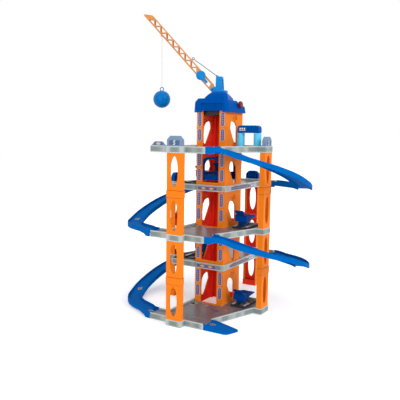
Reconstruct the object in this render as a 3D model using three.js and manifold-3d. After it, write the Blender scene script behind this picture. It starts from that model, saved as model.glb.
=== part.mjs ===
// Toy parking garage: five decks round a lift tower, four clip-together columns, U-turn ramps and a roof crane.
// Millimetres, +Z up. X runs along the front, Y away from it, the origin lies on the floor at the tower's axis.
import * as THREE from "three";
import { mergeVertices } from "three/addons/utils/BufferGeometryUtils.js";
import Module from "manifold-3d";

const wasm = await Module();
wasm.setup();

// Storeys and clearances
const STOREY_HEIGHT = 105;
const DECK_COUNT = 5;
const BAND_HEIGHT = 16;
const FIT = 0.3;
const RUN = 0.5;
const OVERRUN = 2;

// Deck outline, as distances from the tower's axis
const LANE_FRONT = 210.6;
const LANE_WIDTH = 44.6;
const LANE_LEFT = 76;
const LANE_RIGHT = 82;
const WING_RIGHT = 127;
const WING_NOSE = 29;
const WING_HEEL = 16;
const WING_BACK = 122;
const DECK_BACK = 52;
const DECK_LEFT = 47;
const DECK_CORNER = 16;
const LANE_CORNER = 5;

// Deck section
const RIM_WALL = 2.4;
const ROAD_DROP = 5;
const ROAD_SKIN = 2.4;
const RIB_WALL = 1.6;
const RIB_PITCH = 54;
const RIB_RISE = 3;

// Tower
const TOWER_X = 43.3;
const TOWER_Y = 46.6;
const TOWER_WALL = 2.6;
const FRONT_POST = 18.9;
const SILL_RISE = 7;
const NOTCH_REACH = 10.4;
const NOTCH_LEFT = 19;
const NOTCH_RIGHT = 41;
const KEY_RISE = 6;
const KEY_THICK = 2;
const KEY_WIDE = 10;
const KEY_OFFSET = 30;
const LEAF_BOTTOM = 1.5;
const LEAF_DROP = 25;
const LEAF_WIDE = 36;
const SLOT_DROP = 28;
const SLOT_RISE = 12;
const SLOT_LEAN = 9;
const SLOT_WIDE = 4;
const SLOT_PITCH = 7;
const SLOT_STEP = 3;
const SLOT_COUNT = 3;
const RAIL_REACH = 7;
const RAIL_THICK = 2.4;
const RAIL_OFFSET = 35;

// Columns
const COLUMN_WIDE = 41.4;
const COLUMN_DEEP = 14;
const COLUMN_WALL = 2.6;
const COLUMN_STANDOFF = 4.2;
const FRONT_COLUMN_X = 8.5;
const SIDE_COLUMN_Y = 8.75;
const SIDE_COLUMN_STANDOFF = 7.3;
const COLLAR_LIP = 0.8;
const SOCKET_LEDGE = 1;
const SPIGOT_WALL = 1.8;
const SPIGOT_RISE = 6;
const WINDOW_WIDE = 21;
const WINDOW_BOTTOM = 8.6;
const WINDOW_TOP = 6;

// Column caps and the rim sign
const CAP_HEIGHT = 24;
const CAP_CHAMFER = 9;
const CAP_DEEP = 11;
const CAP_WALL = 2.2;
const CAP_RIBS = 4;
const SIDE_CAP_WIDE = 33;
const SIGN_FOOT = 43;
const SIGN_HEAD = 20;
const SIGN_HEIGHT = 10;
const SIGN_OFFSET = 50;
const SIGN_TONGUE = 4;
const SIGN_THICK = 3.2;
const SIGN_CORNER = 2;

// Ramps
const RAMP_CENTRE = 73;
const RAMP_REACH = 153;
const RAMP_DEPTH = 169.5;
const RAMP_SWING = 45;
const RAMP_WIDE = 38.4;
const RAMP_WALL = 2;
const RAMP_LIP = 1;
const RAMP_SKIRT = 11.4;
const RAMP_FLARE = 14;
const RAMP_STEPS = 24;
const ROUTE_SAMPLES = 400;
const RAMP_SQUARE_share = 2.42;
const RAMP_RUNOUT_share = 0.31;
const RAMP_EASE_share = 0.09;
const EXIT_LENGTH = 76;
const EXIT_SKEW = 14;
const EXIT_TOE = 1.6;
const EXIT_CURB = 4;
const EXIT_CORNER = 8;

// Roof
const ROOF_X = 53;
const ROOF_Y = 52;
const ROOF_SKIRT_DROP = 4;
const ROOF_SKIRT_RISE = 12;
const ROOF_EAVE_RISE = 17;
const ROOF_EAVE = 5;
const ROOF_LEAN = 2;
const ROOF_SHOULDER_FOOT = 23;
const ROOF_SHOULDER_RISE = 32;
const ROOF_SHOULDER_X = 45;
const ROOF_HOUSING_X = 49;
const ROOF_HOUSING_FOOT = 20;
const ROOF_HOUSING_RISE = 27;
const ROOF_HOUSING_BACK = 20;
const ROOF_FLANK_RISE = 35;
const ROOF_FLANK_LEFT = 22;
const ROOF_FLANK_RIGHT = 45.5;
const ROOF_FLANK_BACK = 15;
const ROOF_BROW_RISE = 43;
const ROOF_BROW_LEFT = 12;
const ROOF_BROW_RIGHT = 42;
const ROOF_BROW_BACK = 8;
const ROOF_RISE = 48;
const ROOF_CREST_LEFT = 6;
const ROOF_CREST_RIGHT = 36;
const ROOF_CREST_BACK = 3;
const ROOF_CREST_Y = 43;
const ROOF_CORNER = 7;
const ROOF_WALL = 2.4;
const ROOF_LEDGE = 2.4;
const ROOF_ARCH = 6;
const PANEL_LEFT = 28;
const PANEL_RIGHT = 35;
const PANEL_RISE = 19;
const PANEL_DEPTH = 2.4;
const PANEL_RIB = 1.6;
const PANEL_RIB_PITCH = 9;
const PANEL_RIBS = 5;

// Lift
const HOIST_RISE = 17;
const HOIST_Y = 8;
const HOIST_DRUM = 8;
const HOIST_SHAFT = 3;
const HOIST_LEFT = 29;
const HOIST_RIGHT = 24;
const HOIST_CHEEK = 3;
const HOIST_DROP = 11;
const HOIST_BAR = 3;
const HOIST_BAR_Y = 38;
const HOIST_PLATE = 2;
const GEAR_RADIUS = 14;
const GEAR_THICK = 5;
const GEAR_TEETH = 14;
const GEAR_TOOTH = 2.2;
const KNOB_RADIUS = 9;
const KNOB_THICK = 6.5;
const KNOB_GRIPS = 10;
const KNOB_GRIP = 1.6;
const CABIN_X = 29;
const CABIN_Y = 42;
const CABIN_HEIGHT = 61.5;
const CABIN_BASE = 14.5;
const CABIN_FLOOR = 3;
const CABIN_LIP = 6;
const CABIN_POST = 6.5;
const CABIN_LINTEL = 6.5;
const CABIN_ROUND = 20;
const CABIN_FRAME = 4.5;
const CABIN_SIDE = 3;
const CABIN_RIDGE = 3;
const CABIN_ABOVE = 12.5;
const SHOE_LONG = 8;
const SHOE_WALL = 2;

// Crane, whose boom points to one side of straight left
const BOOM_HEADING = 195;
const BOOM_ANGLE = 46.8;
const TURN_RADIUS = 19.5;
const TURN_THICK = 6;
const STUB_RADIUS = 9;
const STUB_DROP = 12;
const SNAP_LIP = 1.6;
const SNAP_THICK = 3;
const MAST_BACK = 8;
const MAST_FRONT = 12;
const MAST_HALF = 8.5;
const MAST_RISE = 36;
const MAST_TAPER = 3;
const MAST_PEAK = 4;
const EAR_REACH = 27;
const EAR_THICK = 2.6;
const PIVOT_ALONG = 20;
const PIVOT_RISE = 8;
const PIN_RADIUS = 2;
const BOOM_HALF = 5;
const BOOM_LENGTH = 283;
const BOOM_NOSE = 19;
const BOOM_TIP = 4;
const BOOM_BELOW = 6.6;
const BOOM_ABOVE = 10.2;
const BOOM_CHORD = 2.4;
const BOOM_WEB = 1.8;
const BOOM_SKIN = 2;
const BOOM_BAYS = 8;
const LATTICE_START = 62;
const FOOT_WINDOW = 12;
const LUG_RADIUS = 6;
const WINCH_ALONG = 50;
const WINCH_ABOVE = 2;
const WINCH_RADIUS = 12.5;
const WINCH_THICK = 6;
const WINCH_SHAFT = 2.4;
const CRANK_REACH = 27;
const CRANK_WIDE = 6;
const CRANK_THICK = 2.6;
const CRANK_KNOB = 8;
const STAY_RADIUS = 0.9;
const STAY_ALONG = 99.4;
const STAY_RING = 3;
const STAY_CLEAR = 1;
const STRING_BACK = 77;
const STRING_LENGTH = 133;
const STRING_RADIUS = 0.45;
const EYELET_RADIUS = 2.6;
const BALL_RADIUS = 23.6;
const BALL_RING = 6;
const BALL_WIRE = 1.2;

// Car wash on the top deck
const WASH_X = 88;
const WASH_Y = 0;
const WASH_SPACING = 48;
const WASH_ROLLER = 10;
const WASH_ROLLER_HEIGHT = 35;
const WASH_POST = 3;
const WASH_LINTEL = 62;
const WASH_LINTEL_HEIGHT = 19.5;
const WASH_CORNER = 3;
const WASH_DEPTH = 18;
const WASH_BASE = 2;
const WASH_BASE_Y = 12;

// Car jacks on the wings
const JACK_X = 84;
const JACK_Y = 4;
const JACK_REAR_Y = 32;
const JACK_WIDE = 42;
const JACK_LONG = 88;
const JACK_BASE = 2.4;
const JACK_TRACK = 9;
const JACK_TRACK_RISE = 3;
const JACK_PIVOT_Y = 22;
const JACK_PIVOT_RISE = 11;
const JACK_LUG = 5;
const JACK_LUG_THICK = 3;
const JACK_PIN = 2;
const JACK_ARM = 16;
const JACK_WIDTH = 34;
const JACK_SKIN = 2.4;
const JACK_FRONT = 11.5;
const JACK_FRONT_FOOT = 6.5;
const JACK_BELLY = 16;
const JACK_BELLY_RISE = 13;
const JACK_TIP = 47;
const JACK_TIP_RISE = 16;
const JACK_DECK_RISE = 24;
const JACK_LEAN = 15;
const JACK_BACK = 39;
const JACK_HEAD_THICK = 4;
const JACK_NECK = 9;
const JACK_NECK_RISE = 27;
const JACK_WING = 13.5;
const JACK_WING_RISE = 33;
const JACK_DIP = 3;
const JACK_RIBS = 5;
const JACK_RIB_RISE = 1.2;

// How many sides round things have
const DISC_SIDES = 26;
const BAR_SIDES = 20;
const PIN_SIDES = 14;
const WIRE_SIDES = 8;
const CURVE_FINE = 8;
const CURVE_PLAIN = 4;
const CURVE_COARSE = 2;

// Shares of the leaf window's half width and of its height, from its foot round to the right
const LEAF_shares = [
  [0.25, 0],
  [0.6, 0, 0.85, 0.06],
  [1, 0.4, 0.8, 0.74],
  [0.5, 0.97, -0.75, 1],
  [-1.2, 0.96, -1.25, 0.69],
  [-0.5, 0.32, 0.25, 0],
];

// Materials
const plastic = (colour, roughness) =>
  new THREE.MeshStandardMaterial({ color: colour, roughness, metalness: 0 });
const ORANGE = plastic(0xf77f1c, 0.42);
const GREY = plastic(0xb4babb, 0.55);
const BLUE = plastic(0x0b5fc4, 0.38);
const DARK_BLUE = plastic(0x0c48a0, 0.4);
const SKY_BLUE = plastic(0x1f8fdc, 0.36);
const CYAN = plastic(0x5cc3e6, 0.5);
const SIGN_BLUE = plastic(0x6c86ad, 0.5);
const DARK = plastic(0x32353d, 0.6);
const RED = plastic(0x8c1820, 0.4);
const WIRE = new THREE.MeshStandardMaterial({ color: 0x7d8a96, roughness: 0.35, metalness: 0.8 });
const STRING = plastic(0xe6e6e0, 0.85);

// Heights of the decks' rims, roads and undersides
const rimHeight = (level) => BAND_HEIGHT + (level - 1) * STOREY_HEIGHT;
const roadHeight = (level) => rimHeight(level) - ROAD_DROP;
const bandFoot = (level) => rimHeight(level) - BAND_HEIGHT;
const isOdd = (level) => level % 2 === 1;
const BODY_HEIGHT = STOREY_HEIGHT - BAND_HEIGHT;
const LANE_MIDDLE = LANE_FRONT - LANE_WIDTH / 2;
const LANE_BACK = LANE_FRONT - LANE_WIDTH;
const TOWER_TOP = bandFoot(DECK_COUNT + 1);
const LATTICE_END = BOOM_LENGTH - BOOM_NOSE;
const STRING_ALONG = BOOM_LENGTH - STRING_BACK;

// A three.js geometry as a solid that can be joined and cut
function solidOf(geometry) {
  const bare = geometry.index ? geometry.toNonIndexed() : geometry.clone();
  bare.deleteAttribute("normal");
  bare.deleteAttribute("uv");
  const merged = mergeVertices(bare, 1e-4);
  return new wasm.Manifold(
    new wasm.Mesh({
      numProp: 3,
      vertProperties: new Float32Array(merged.attributes.position.array),
      triVerts: new Uint32Array(merged.index.array),
    }),
  );
}

const join = (...solids) => solids.flat().reduce((sum, next) => sum.add(next));
const cut = (solid, ...tools) => tools.flat().reduce((rest, tool) => rest.subtract(tool), solid);

// A solid as a named mesh
function piece(name, solid, material) {
  const made = solid.getMesh();
  const geometry = new THREE.BufferGeometry();
  const places = new Float32Array(made.numVert * 3);
  for (let i = 0; i < made.numVert; i++) {
    places.set(made.vertProperties.subarray(i * made.numProp, i * made.numProp + 3), i * 3);
  }
  geometry.setAttribute("position", new THREE.BufferAttribute(places, 3));
  geometry.setIndex(new THREE.BufferAttribute(new Uint32Array(made.triVerts), 1));
  geometry.computeVertexNormals();
  const mesh = new THREE.Mesh(geometry, material);
  mesh.name = name;
  return mesh;
}

// A block between two opposite corners
function block(x0, x1, y0, y1, z0, z1) {
  const geometry = new THREE.BoxGeometry(x1 - x0, y1 - y0, z1 - z0);
  geometry.translate((x0 + x1) / 2, (y0 + y1) / 2, (z0 + z1) / 2);
  return solidOf(geometry);
}

// A flat outline pushed up from z0 to z1
function prism(shape, z0, z1, smooth = CURVE_PLAIN) {
  const geometry = new THREE.ExtrudeGeometry(shape, {
    depth: z1 - z0,
    bevelEnabled: false,
    curveSegments: smooth,
  });
  geometry.translate(0, 0, z0);
  return solidOf(geometry);
}

// A prism whose outline lies in the XZ plane and runs from y0 to y1
function prismAlongY(shape, y0, y1, smooth = CURVE_PLAIN) {
  const geometry = new THREE.ExtrudeGeometry(shape, {
    depth: y1 - y0,
    bevelEnabled: false,
    curveSegments: smooth,
  });
  geometry.rotateX(Math.PI / 2);
  geometry.translate(0, y1, 0);
  return solidOf(geometry);
}

// A prism whose outline lies in the YZ plane and runs from x0 to x1
function prismAlongX(shape, x0, x1, smooth = CURVE_PLAIN) {
  const geometry = new THREE.ExtrudeGeometry(shape, {
    depth: x1 - x0,
    bevelEnabled: false,
    curveSegments: smooth,
  });
  geometry.applyMatrix4(new THREE.Matrix4().set(0, 0, 1, x0, 1, 0, 0, 0, 0, 1, 0, 0, 0, 0, 0, 1));
  return solidOf(geometry);
}

// A round bar along Z, X or Y
function barZ(x, y, radius, z0, z1, sides = BAR_SIDES) {
  const geometry = new THREE.CylinderGeometry(radius, radius, z1 - z0, sides);
  geometry.rotateX(Math.PI / 2);
  geometry.translate(x, y, (z0 + z1) / 2);
  return solidOf(geometry);
}
function barX(y, z, radius, x0, x1, sides = BAR_SIDES) {
  const geometry = new THREE.CylinderGeometry(radius, radius, x1 - x0, sides);
  geometry.rotateZ(Math.PI / 2);
  geometry.translate((x0 + x1) / 2, y, z);
  return solidOf(geometry);
}
function barY(x, z, radius, y0, y1, sides = BAR_SIDES) {
  const geometry = new THREE.CylinderGeometry(radius, radius, y1 - y0, sides);
  geometry.translate(x, (y0 + y1) / 2, z);
  return solidOf(geometry);
}

// A closed outline through corners [x, y, radius], each rounded by its radius
function outline(corners) {
  const shape = new THREE.Shape();
  corners.forEach(([x, y, radius], i) => {
    const here = new THREE.Vector2(x, y);
    const before = corners[(i + corners.length - 1) % corners.length];
    const after = corners[(i + 1) % corners.length];
    const back = new THREE.Vector2(before[0], before[1]).sub(here);
    const ahead = new THREE.Vector2(after[0], after[1]).sub(here);
    const cutBack = Math.min(radius, back.length() / 2);
    const cutAhead = Math.min(radius, ahead.length() / 2);
    const start = here.clone().addScaledVector(back.normalize(), cutBack);
    const end = here.clone().addScaledVector(ahead.normalize(), cutAhead);
    if (i === 0) shape.moveTo(start.x, start.y);
    else shape.lineTo(start.x, start.y);
    if (radius > 0) shape.quadraticCurveTo(x, y, end.x, end.y);
  });
  shape.closePath();
  return shape;
}

// The same corners moved inwards by a wall, for an outline that runs counterclockwise
function inset(corners, wall) {
  return corners.map(([x, y, radius], i) => {
    const before = corners[(i + corners.length - 1) % corners.length];
    const after = corners[(i + 1) % corners.length];
    const first = new THREE.Vector2(x - before[0], y - before[1]).normalize();
    const second = new THREE.Vector2(after[0] - x, after[1] - y).normalize();
    const turn = first.x * second.y - first.y * second.x;
    const along = (1 - first.dot(second)) / turn;
    return [
      x - first.y * wall - first.x * along * wall,
      y + first.x * wall - first.y * along * wall,
      turn > 0 ? Math.max(radius - wall, 0) : radius > 0 ? radius + wall : 0,
    ];
  });
}

const rectangle = (halfX, halfY, radius = 0) => [
  [-halfX, -halfY, radius],
  [halfX, -halfY, radius],
  [halfX, halfY, radius],
  [-halfX, halfY, radius],
];

// Columns: U channels open towards the tower, in a frame whose outer face is y = 0 and whose centre is x = 0
function channel(half, front, back, wall, z0, z1) {
  return cut(
    block(-half, half, front, back, z0, z1),
    block(-half + wall, half - wall, front + wall, back + OVERRUN, z0 - OVERRUN, z1 + OVERRUN),
  );
}

// The socket takes the spigots from above and below
const socketHole = (z0, z1) =>
  block(
    -COLUMN_WIDE / 2 + SOCKET_LEDGE,
    COLUMN_WIDE / 2 - SOCKET_LEDGE,
    SOCKET_LEDGE,
    COLUMN_DEEP - SOCKET_LEDGE,
    z0,
    z1,
  );

const socketBlock = (reach, z0, z1) =>
  block(-COLUMN_WIDE / 2 - COLLAR_LIP, COLUMN_WIDE / 2 + COLLAR_LIP, -COLLAR_LIP, reach, z0, z1);

function spigot(z0, z1) {
  const inwards = SOCKET_LEDGE + FIT;
  return channel(
    COLUMN_WIDE / 2 - inwards,
    inwards,
    COLUMN_DEEP - inwards,
    COLUMN_WALL - inwards + SPIGOT_WALL,
    z0,
    z1,
  );
}

// The pointed window in a column's wide face
function pointedWindow() {
  const low = WINDOW_BOTTOM;
  const high = BODY_HEIGHT - WINDOW_TOP;
  const middle = (low + high) / 2;
  const half = WINDOW_WIDE / 2;
  const shape = new THREE.Shape();
  shape.moveTo(0, low);
  shape.quadraticCurveTo(half, low + half / 2, half, middle);
  shape.quadraticCurveTo(half, high - half / 2, 0, high);
  shape.quadraticCurveTo(-half, high - half / 2, -half, middle);
  shape.quadraticCurveTo(-half, low + half / 2, 0, low);
  return prismAlongY(shape, -OVERRUN, COLUMN_WALL + OVERRUN);
}

function columnSegment({ collarBelow, collarAbove }) {
  const parts = [channel(COLUMN_WIDE / 2, 0, COLUMN_DEEP, COLUMN_WALL, 0, BODY_HEIGHT)];
  if (collarAbove) parts.push(collar(BODY_HEIGHT - FIT, BODY_HEIGHT + BAND_HEIGHT));
  else parts.push(spigot(BODY_HEIGHT - OVERRUN, BODY_HEIGHT + SPIGOT_RISE));
  if (collarBelow) parts.push(collar(-BAND_HEIGHT, FIT));
  else parts.push(spigot(-SPIGOT_RISE, OVERRUN));
  return cut(join(parts), pointedWindow());
}

// The ring that takes a deck's place on a storey whose deck doesn't reach the column
function collar(z0, z1) {
  const ring = socketBlock(COLUMN_DEEP + COLLAR_LIP, z0, z1);
  return cut(ring, socketHole(z0 - OVERRUN, z1 + OVERRUN));
}

// A column cap: a chamfered plaque, hollow behind, with a spigot for the socket
function columnCap(wide, round) {
  const half = wide / 2;
  const face = outline([
    [-half, 0, 0],
    [half, 0, 0],
    [half, CAP_HEIGHT - CAP_CHAMFER, round],
    [half - CAP_CHAMFER, CAP_HEIGHT, round],
    [CAP_CHAMFER - half, CAP_HEIGHT, round],
    [-half, CAP_HEIGHT - CAP_CHAMFER, round],
  ]);
  const hollow = outline([
    [CAP_WALL - half, -OVERRUN, 0],
    [half - CAP_WALL, -OVERRUN, 0],
    [half - CAP_WALL, CAP_HEIGHT - CAP_CHAMFER, round],
    [half - CAP_CHAMFER - CAP_WALL / 2, CAP_HEIGHT - CAP_WALL, round],
    [CAP_CHAMFER + CAP_WALL / 2 - half, CAP_HEIGHT - CAP_WALL, round],
    [CAP_WALL - half, CAP_HEIGHT - CAP_CHAMFER, round],
  ]);
  const shell = cut(
    prismAlongY(face, 0, CAP_DEEP),
    prismAlongY(hollow, CAP_WALL, CAP_DEEP + OVERRUN),
  );
  const ribs = [];
  const step = (wide - 2 * CAP_WALL) / (CAP_RIBS + 1);
  for (let i = 1; i <= CAP_RIBS; i++) {
    const x = CAP_WALL - half + i * step;
    ribs.push(block(
      x - CAP_WALL / 2,
      x + CAP_WALL / 2,
      CAP_WALL / 2,
      CAP_DEEP,
      0,
      CAP_HEIGHT - CAP_WALL / 2,
    ));
  }
  const inside = prismAlongY(face, 0, CAP_DEEP);
  return join(shell, join(ribs).intersect(inside), spigot(-SPIGOT_RISE, OVERRUN));
}

// Where the columns stand: a turn about the tower's axis, and the outer face's distance from it
const frontFace = LANE_FRONT + COLUMN_STANDOFF + COLUMN_DEEP;
const sideFace = WING_RIGHT + SIDE_COLUMN_STANDOFF + COLUMN_DEEP;
const columnPlaces = {
  front: { turn: 0, shift: FRONT_COLUMN_X, face: frontFace, levels: [1, 3, 5], cap: [COLUMN_WIDE, 0] },
  right: {
    turn: Math.PI / 2,
    shift: -SIDE_COLUMN_Y,
    face: sideFace,
    levels: [1, 3, 5],
    cap: [SIDE_CAP_WIDE, CAP_CHAMFER / 3],
  },
  back: {
    turn: Math.PI,
    shift: FRONT_COLUMN_X,
    face: frontFace,
    levels: [2, 4],
    cap: [COLUMN_WIDE, CAP_CHAMFER / 2],
  },
  left: {
    turn: -Math.PI / 2,
    shift: -SIDE_COLUMN_Y,
    face: sideFace,
    levels: [2, 4],
    cap: [COLUMN_WIDE, CAP_CHAMFER / 2],
  },
};

// A column piece, moved from its own frame to its place
function atColumn(mesh, place, z) {
  const moved = new THREE.Group();
  mesh.position.set(place.shift, -place.face, z);
  moved.add(mesh);
  moved.rotation.z = place.turn;
  return moved;
}

function columns() {
  const all = new THREE.Group();
  for (const [side, place] of Object.entries(columnPlaces)) {
    const top = place.levels.at(-1);
    for (let level = 1; level < top; level++) {
      const segment = columnSegment({
        collarBelow: level === 1 && !place.levels.includes(1),
        collarAbove: !place.levels.includes(level + 1),
      });
      all.add(atColumn(piece(`${side}_column_${level}`, segment, ORANGE), place, rimHeight(level)));
    }
    const colour = isOdd(top) ? SIGN_BLUE : DARK_BLUE;
    all.add(atColumn(
      piece(`${side}_column_cap`, columnCap(...place.cap), colour),
      place,
      rimHeight(top),
    ));
  }
  return all;
}

// A deck as seen on the odd storeys: lane across the front, plaza round the tower, wing to the right column
const deckCorners = [
  [-LANE_LEFT, -LANE_FRONT, LANE_CORNER],
  [LANE_RIGHT, -LANE_FRONT, LANE_CORNER],
  [LANE_RIGHT, -LANE_BACK, 0],
  [WING_RIGHT, -WING_NOSE, LANE_CORNER],
  [WING_RIGHT, WING_HEEL, LANE_CORNER],
  [WING_BACK, DECK_BACK, DECK_CORNER],
  [-DECK_LEFT, DECK_BACK, DECK_CORNER],
  [-DECK_LEFT, -LANE_BACK, 0],
  [-LANE_LEFT, -LANE_BACK, LANE_CORNER],
];

function deckRibs() {
  const ribs = [];
  const top = BAND_HEIGHT - ROAD_DROP - ROAD_SKIN / 2;
  for (let y = RIB_PITCH - LANE_FRONT; y < DECK_BACK; y += RIB_PITCH) {
    ribs.push(block(-LANE_LEFT, WING_RIGHT, y - RIB_WALL / 2, y + RIB_WALL / 2, RIB_RISE, top));
  }
  return join(ribs).intersect(prism(outline(inset(deckCorners, RIM_WALL / 2)), 0, BAND_HEIGHT));
}

// Moves a socket from the column's own frame to its place on the deck
function atSocket(solid, place) {
  return solid
    .translate([place.shift, -place.face, 0])
    .rotate([0, 0, THREE.MathUtils.radToDeg(place.turn)]);
}

function deck(openLeft, openRight) {
  const inner = outline(inset(deckCorners, RIM_WALL));
  const road = BAND_HEIGHT - ROAD_DROP;
  const holeX = TOWER_X + FIT;
  const holeY = TOWER_Y + FIT;
  const tray = cut(
    prism(outline(deckCorners), 0, BAND_HEIGHT),
    prism(inner, road, BAND_HEIGHT + OVERRUN),
    prism(inner, -OVERRUN, road - ROAD_SKIN),
  );
  const hub = join(
    block(-holeX - RIM_WALL, holeX + RIM_WALL, -holeY - RIM_WALL, holeY + RIM_WALL, 0, road),
    block(
      -NOTCH_LEFT - RIM_WALL,
      NOTCH_RIGHT + RIM_WALL,
      -TOWER_Y - NOTCH_REACH - RIM_WALL,
      0,
      0,
      road,
    ),
  );
  const sockets = [columnPlaces.front, columnPlaces.right];
  const reaches = [COLUMN_STANDOFF + RIM_WALL, SIDE_COLUMN_STANDOFF + RIM_WALL];
  const blocks = sockets.map((place, i) =>
    atSocket(socketBlock(COLUMN_DEEP + reaches[i] - OVERRUN / 2, 0, BAND_HEIGHT), place),
  );
  const holes = sockets.map((place) => atSocket(socketHole(-OVERRUN, BAND_HEIGHT + OVERRUN), place));
  const cuts = [
    block(-holeX, holeX, -holeY, holeY, -OVERRUN, BAND_HEIGHT + OVERRUN),
    block(-NOTCH_LEFT, NOTCH_RIGHT, -TOWER_Y - NOTCH_REACH, 0, -OVERRUN, BAND_HEIGHT + OVERRUN),
  ];
  const mouth = (x0, x1) =>
    block(x0, x1, RIM_WALL - LANE_FRONT, -LANE_BACK - RIM_WALL, road, BAND_HEIGHT + OVERRUN);
  if (openRight) cuts.push(mouth(LANE_RIGHT - LANE_CORNER, LANE_RIGHT + OVERRUN));
  if (openLeft) cuts.push(mouth(-LANE_LEFT - OVERRUN, LANE_CORNER - LANE_LEFT));
  return cut(join(tray, deckRibs(), hub, blocks), holes, cuts);
}

function decks() {
  const all = new THREE.Group();
  for (let level = 1; level <= DECK_COUNT; level++) {
    const mesh = piece(`deck_${level}`, deck(level < DECK_COUNT, true), GREY);
    mesh.position.z = bandFoot(level);
    if (!isOdd(level)) mesh.rotation.z = Math.PI;
    all.add(mesh);
  }
  return all;
}

// Tower: one storey is a ring in the deck with two side walls, open to the front and back
function leafCut() {
  const shape = new THREE.Shape();
  const low = BAND_HEIGHT + LEAF_BOTTOM;
  const tall = STOREY_HEIGHT - LEAF_DROP - low;
  const half = LEAF_WIDE / 2;
  const [[footY, footZ], ...curves] = LEAF_shares;
  shape.moveTo(half * footY, low + tall * footZ);
  for (const [bendY, bendZ, endY, endZ] of curves) {
    shape.quadraticCurveTo(half * bendY, low + tall * bendZ, half * endY, low + tall * endZ);
  }
  return shape;
}

function slantSlot(y, z) {
  const shape = new THREE.Shape();
  shape.moveTo(y, z);
  shape.lineTo(y + SLOT_WIDE, z);
  shape.lineTo(y + SLOT_WIDE - SLOT_LEAN, z + SLOT_RISE);
  shape.lineTo(y - SLOT_LEAN, z + SLOT_RISE);
  shape.closePath();
  return shape;
}

// The cuts through the right wall: the leaf with its slanting slots above
function wallCuts() {
  const shapes = [leafCut()];
  for (let i = 0; i < SLOT_COUNT; i++) {
    shapes.push(slantSlot(i * SLOT_PITCH, STOREY_HEIGHT - SLOT_DROP + i * SLOT_STEP));
  }
  return join(shapes.map((shape) => prismAlongX(shape, 0, TOWER_X + OVERRUN, CURVE_COARSE)));
}

function towerStorey() {
  const opening = TOWER_X - FRONT_POST;
  const shell = cut(
    block(-TOWER_X, TOWER_X, -TOWER_Y, TOWER_Y, 0, STOREY_HEIGHT),
    block(
      TOWER_WALL - TOWER_X,
      TOWER_X - TOWER_WALL,
      TOWER_WALL - TOWER_Y,
      TOWER_Y - TOWER_WALL,
      -OVERRUN,
      STOREY_HEIGHT + OVERRUN,
    ),
  );
  const doors = [
    block(-opening, opening, -TOWER_Y - OVERRUN, 0, BAND_HEIGHT - ROAD_DROP, STOREY_HEIGHT + OVERRUN),
    block(-opening, opening, 0, TOWER_Y + OVERRUN, BAND_HEIGHT + SILL_RISE, STOREY_HEIGHT + OVERRUN),
  ];
  const right = wallCuts();
  const windows = [right, right.rotate([0, 0, 180])];
  const inner = TOWER_X - TOWER_WALL;
  const fittings = [];
  for (const x of [-1, 1]) {
    for (const y of [-1, 1]) {
      fittings.push(rail(x, y, inner), key(x, y, inner));
    }
  }
  return join(cut(shell, doors, windows), fittings);
}

// A guide rail for the lift, up the inside of a side wall
function rail(x, y, inner) {
  const edge = RAIL_OFFSET * y;
  return sideBlock(
    x,
    inner - RAIL_REACH,
    inner + TOWER_WALL / 2,
    edge - RAIL_THICK / 2,
    edge + RAIL_THICK / 2,
    0,
    STOREY_HEIGHT,
  );
}

// A key that stands up into the next storey's ring
function key(x, y, inner) {
  const y0 = Math.min(y * (KEY_OFFSET - KEY_WIDE), y * KEY_OFFSET);
  const y1 = y0 + KEY_WIDE;
  return join(
    sideBlock(
      x,
      inner - FIT - KEY_THICK,
      inner + TOWER_WALL / 2,
      y0,
      y1,
      STOREY_HEIGHT - KEY_RISE,
      STOREY_HEIGHT,
    ),
    sideBlock(
      x,
      inner - FIT - KEY_THICK,
      inner - FIT,
      y0,
      y1,
      STOREY_HEIGHT - KEY_RISE,
      STOREY_HEIGHT + KEY_RISE,
    ),
  );
}

function sideBlock(side, x0, x1, y0, y1, z0, z1) {
  return side > 0 ? block(x0, x1, y0, y1, z0, z1) : block(-x1, -x0, y0, y1, z0, z1);
}

function tower() {
  const all = new THREE.Group();
  for (let level = 1; level <= DECK_COUNT; level++) {
    const mesh = piece(`tower_storey_${level}`, towerStorey(), ORANGE);
    mesh.position.z = bandFoot(level);
    if (!isOdd(level)) mesh.rotation.z = Math.PI;
    all.add(mesh);
  }
  return all;
}

// The middle line of a U ramp in plan: half of a squared-off ellipse that swings out to the lanes at both ends
function rampRoute() {
  const route = [];
  const power = 2 / RAMP_SQUARE_share;
  const startX = LANE_RIGHT + FIT - RAMP_CENTRE;
  const endX = LANE_LEFT + FIT - RAMP_CENTRE;
  const startTurn = -Math.acos((startX / RAMP_REACH) ** (1 / power));
  const endTurn = Math.acos((endX / RAMP_REACH) ** (1 / power));
  let length = 0;
  for (let i = 0; i <= ROUTE_SAMPLES; i++) {
    const turn = startTurn + ((endTurn - startTurn) * i) / ROUTE_SAMPLES;
    const x = RAMP_CENTRE + RAMP_REACH * Math.cos(turn) ** power;
    const away = THREE.MathUtils.smoothstep(x, LANE_RIGHT, LANE_RIGHT + RAMP_SWING);
    const depth = RAMP_DEPTH * Math.abs(Math.sin(turn)) ** power + (LANE_MIDDLE - RAMP_DEPTH) * (1 - away);
    const y = Math.sign(turn) * depth;
    const last = route.at(-1);
    if (last) length += Math.hypot(x - last.x, y - last.y);
    route.push({ x, y, length });
  }
  return route;
}

function routeAt(route, length) {
  let i = 1;
  while (i < route.length - 1 && route[i].length < length) i++;
  const from = route[i - 1];
  const to = route[i];
  const share = (length - from.length) / (to.length - from.length);
  const run = Math.hypot(to.x - from.x, to.y - from.y);
  return {
    x: from.x + (to.x - from.x) * share,
    y: from.y + (to.y - from.y) * share,
    outX: (to.y - from.y) / run,
    outY: -(to.x - from.x) / run,
  };
}

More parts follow.
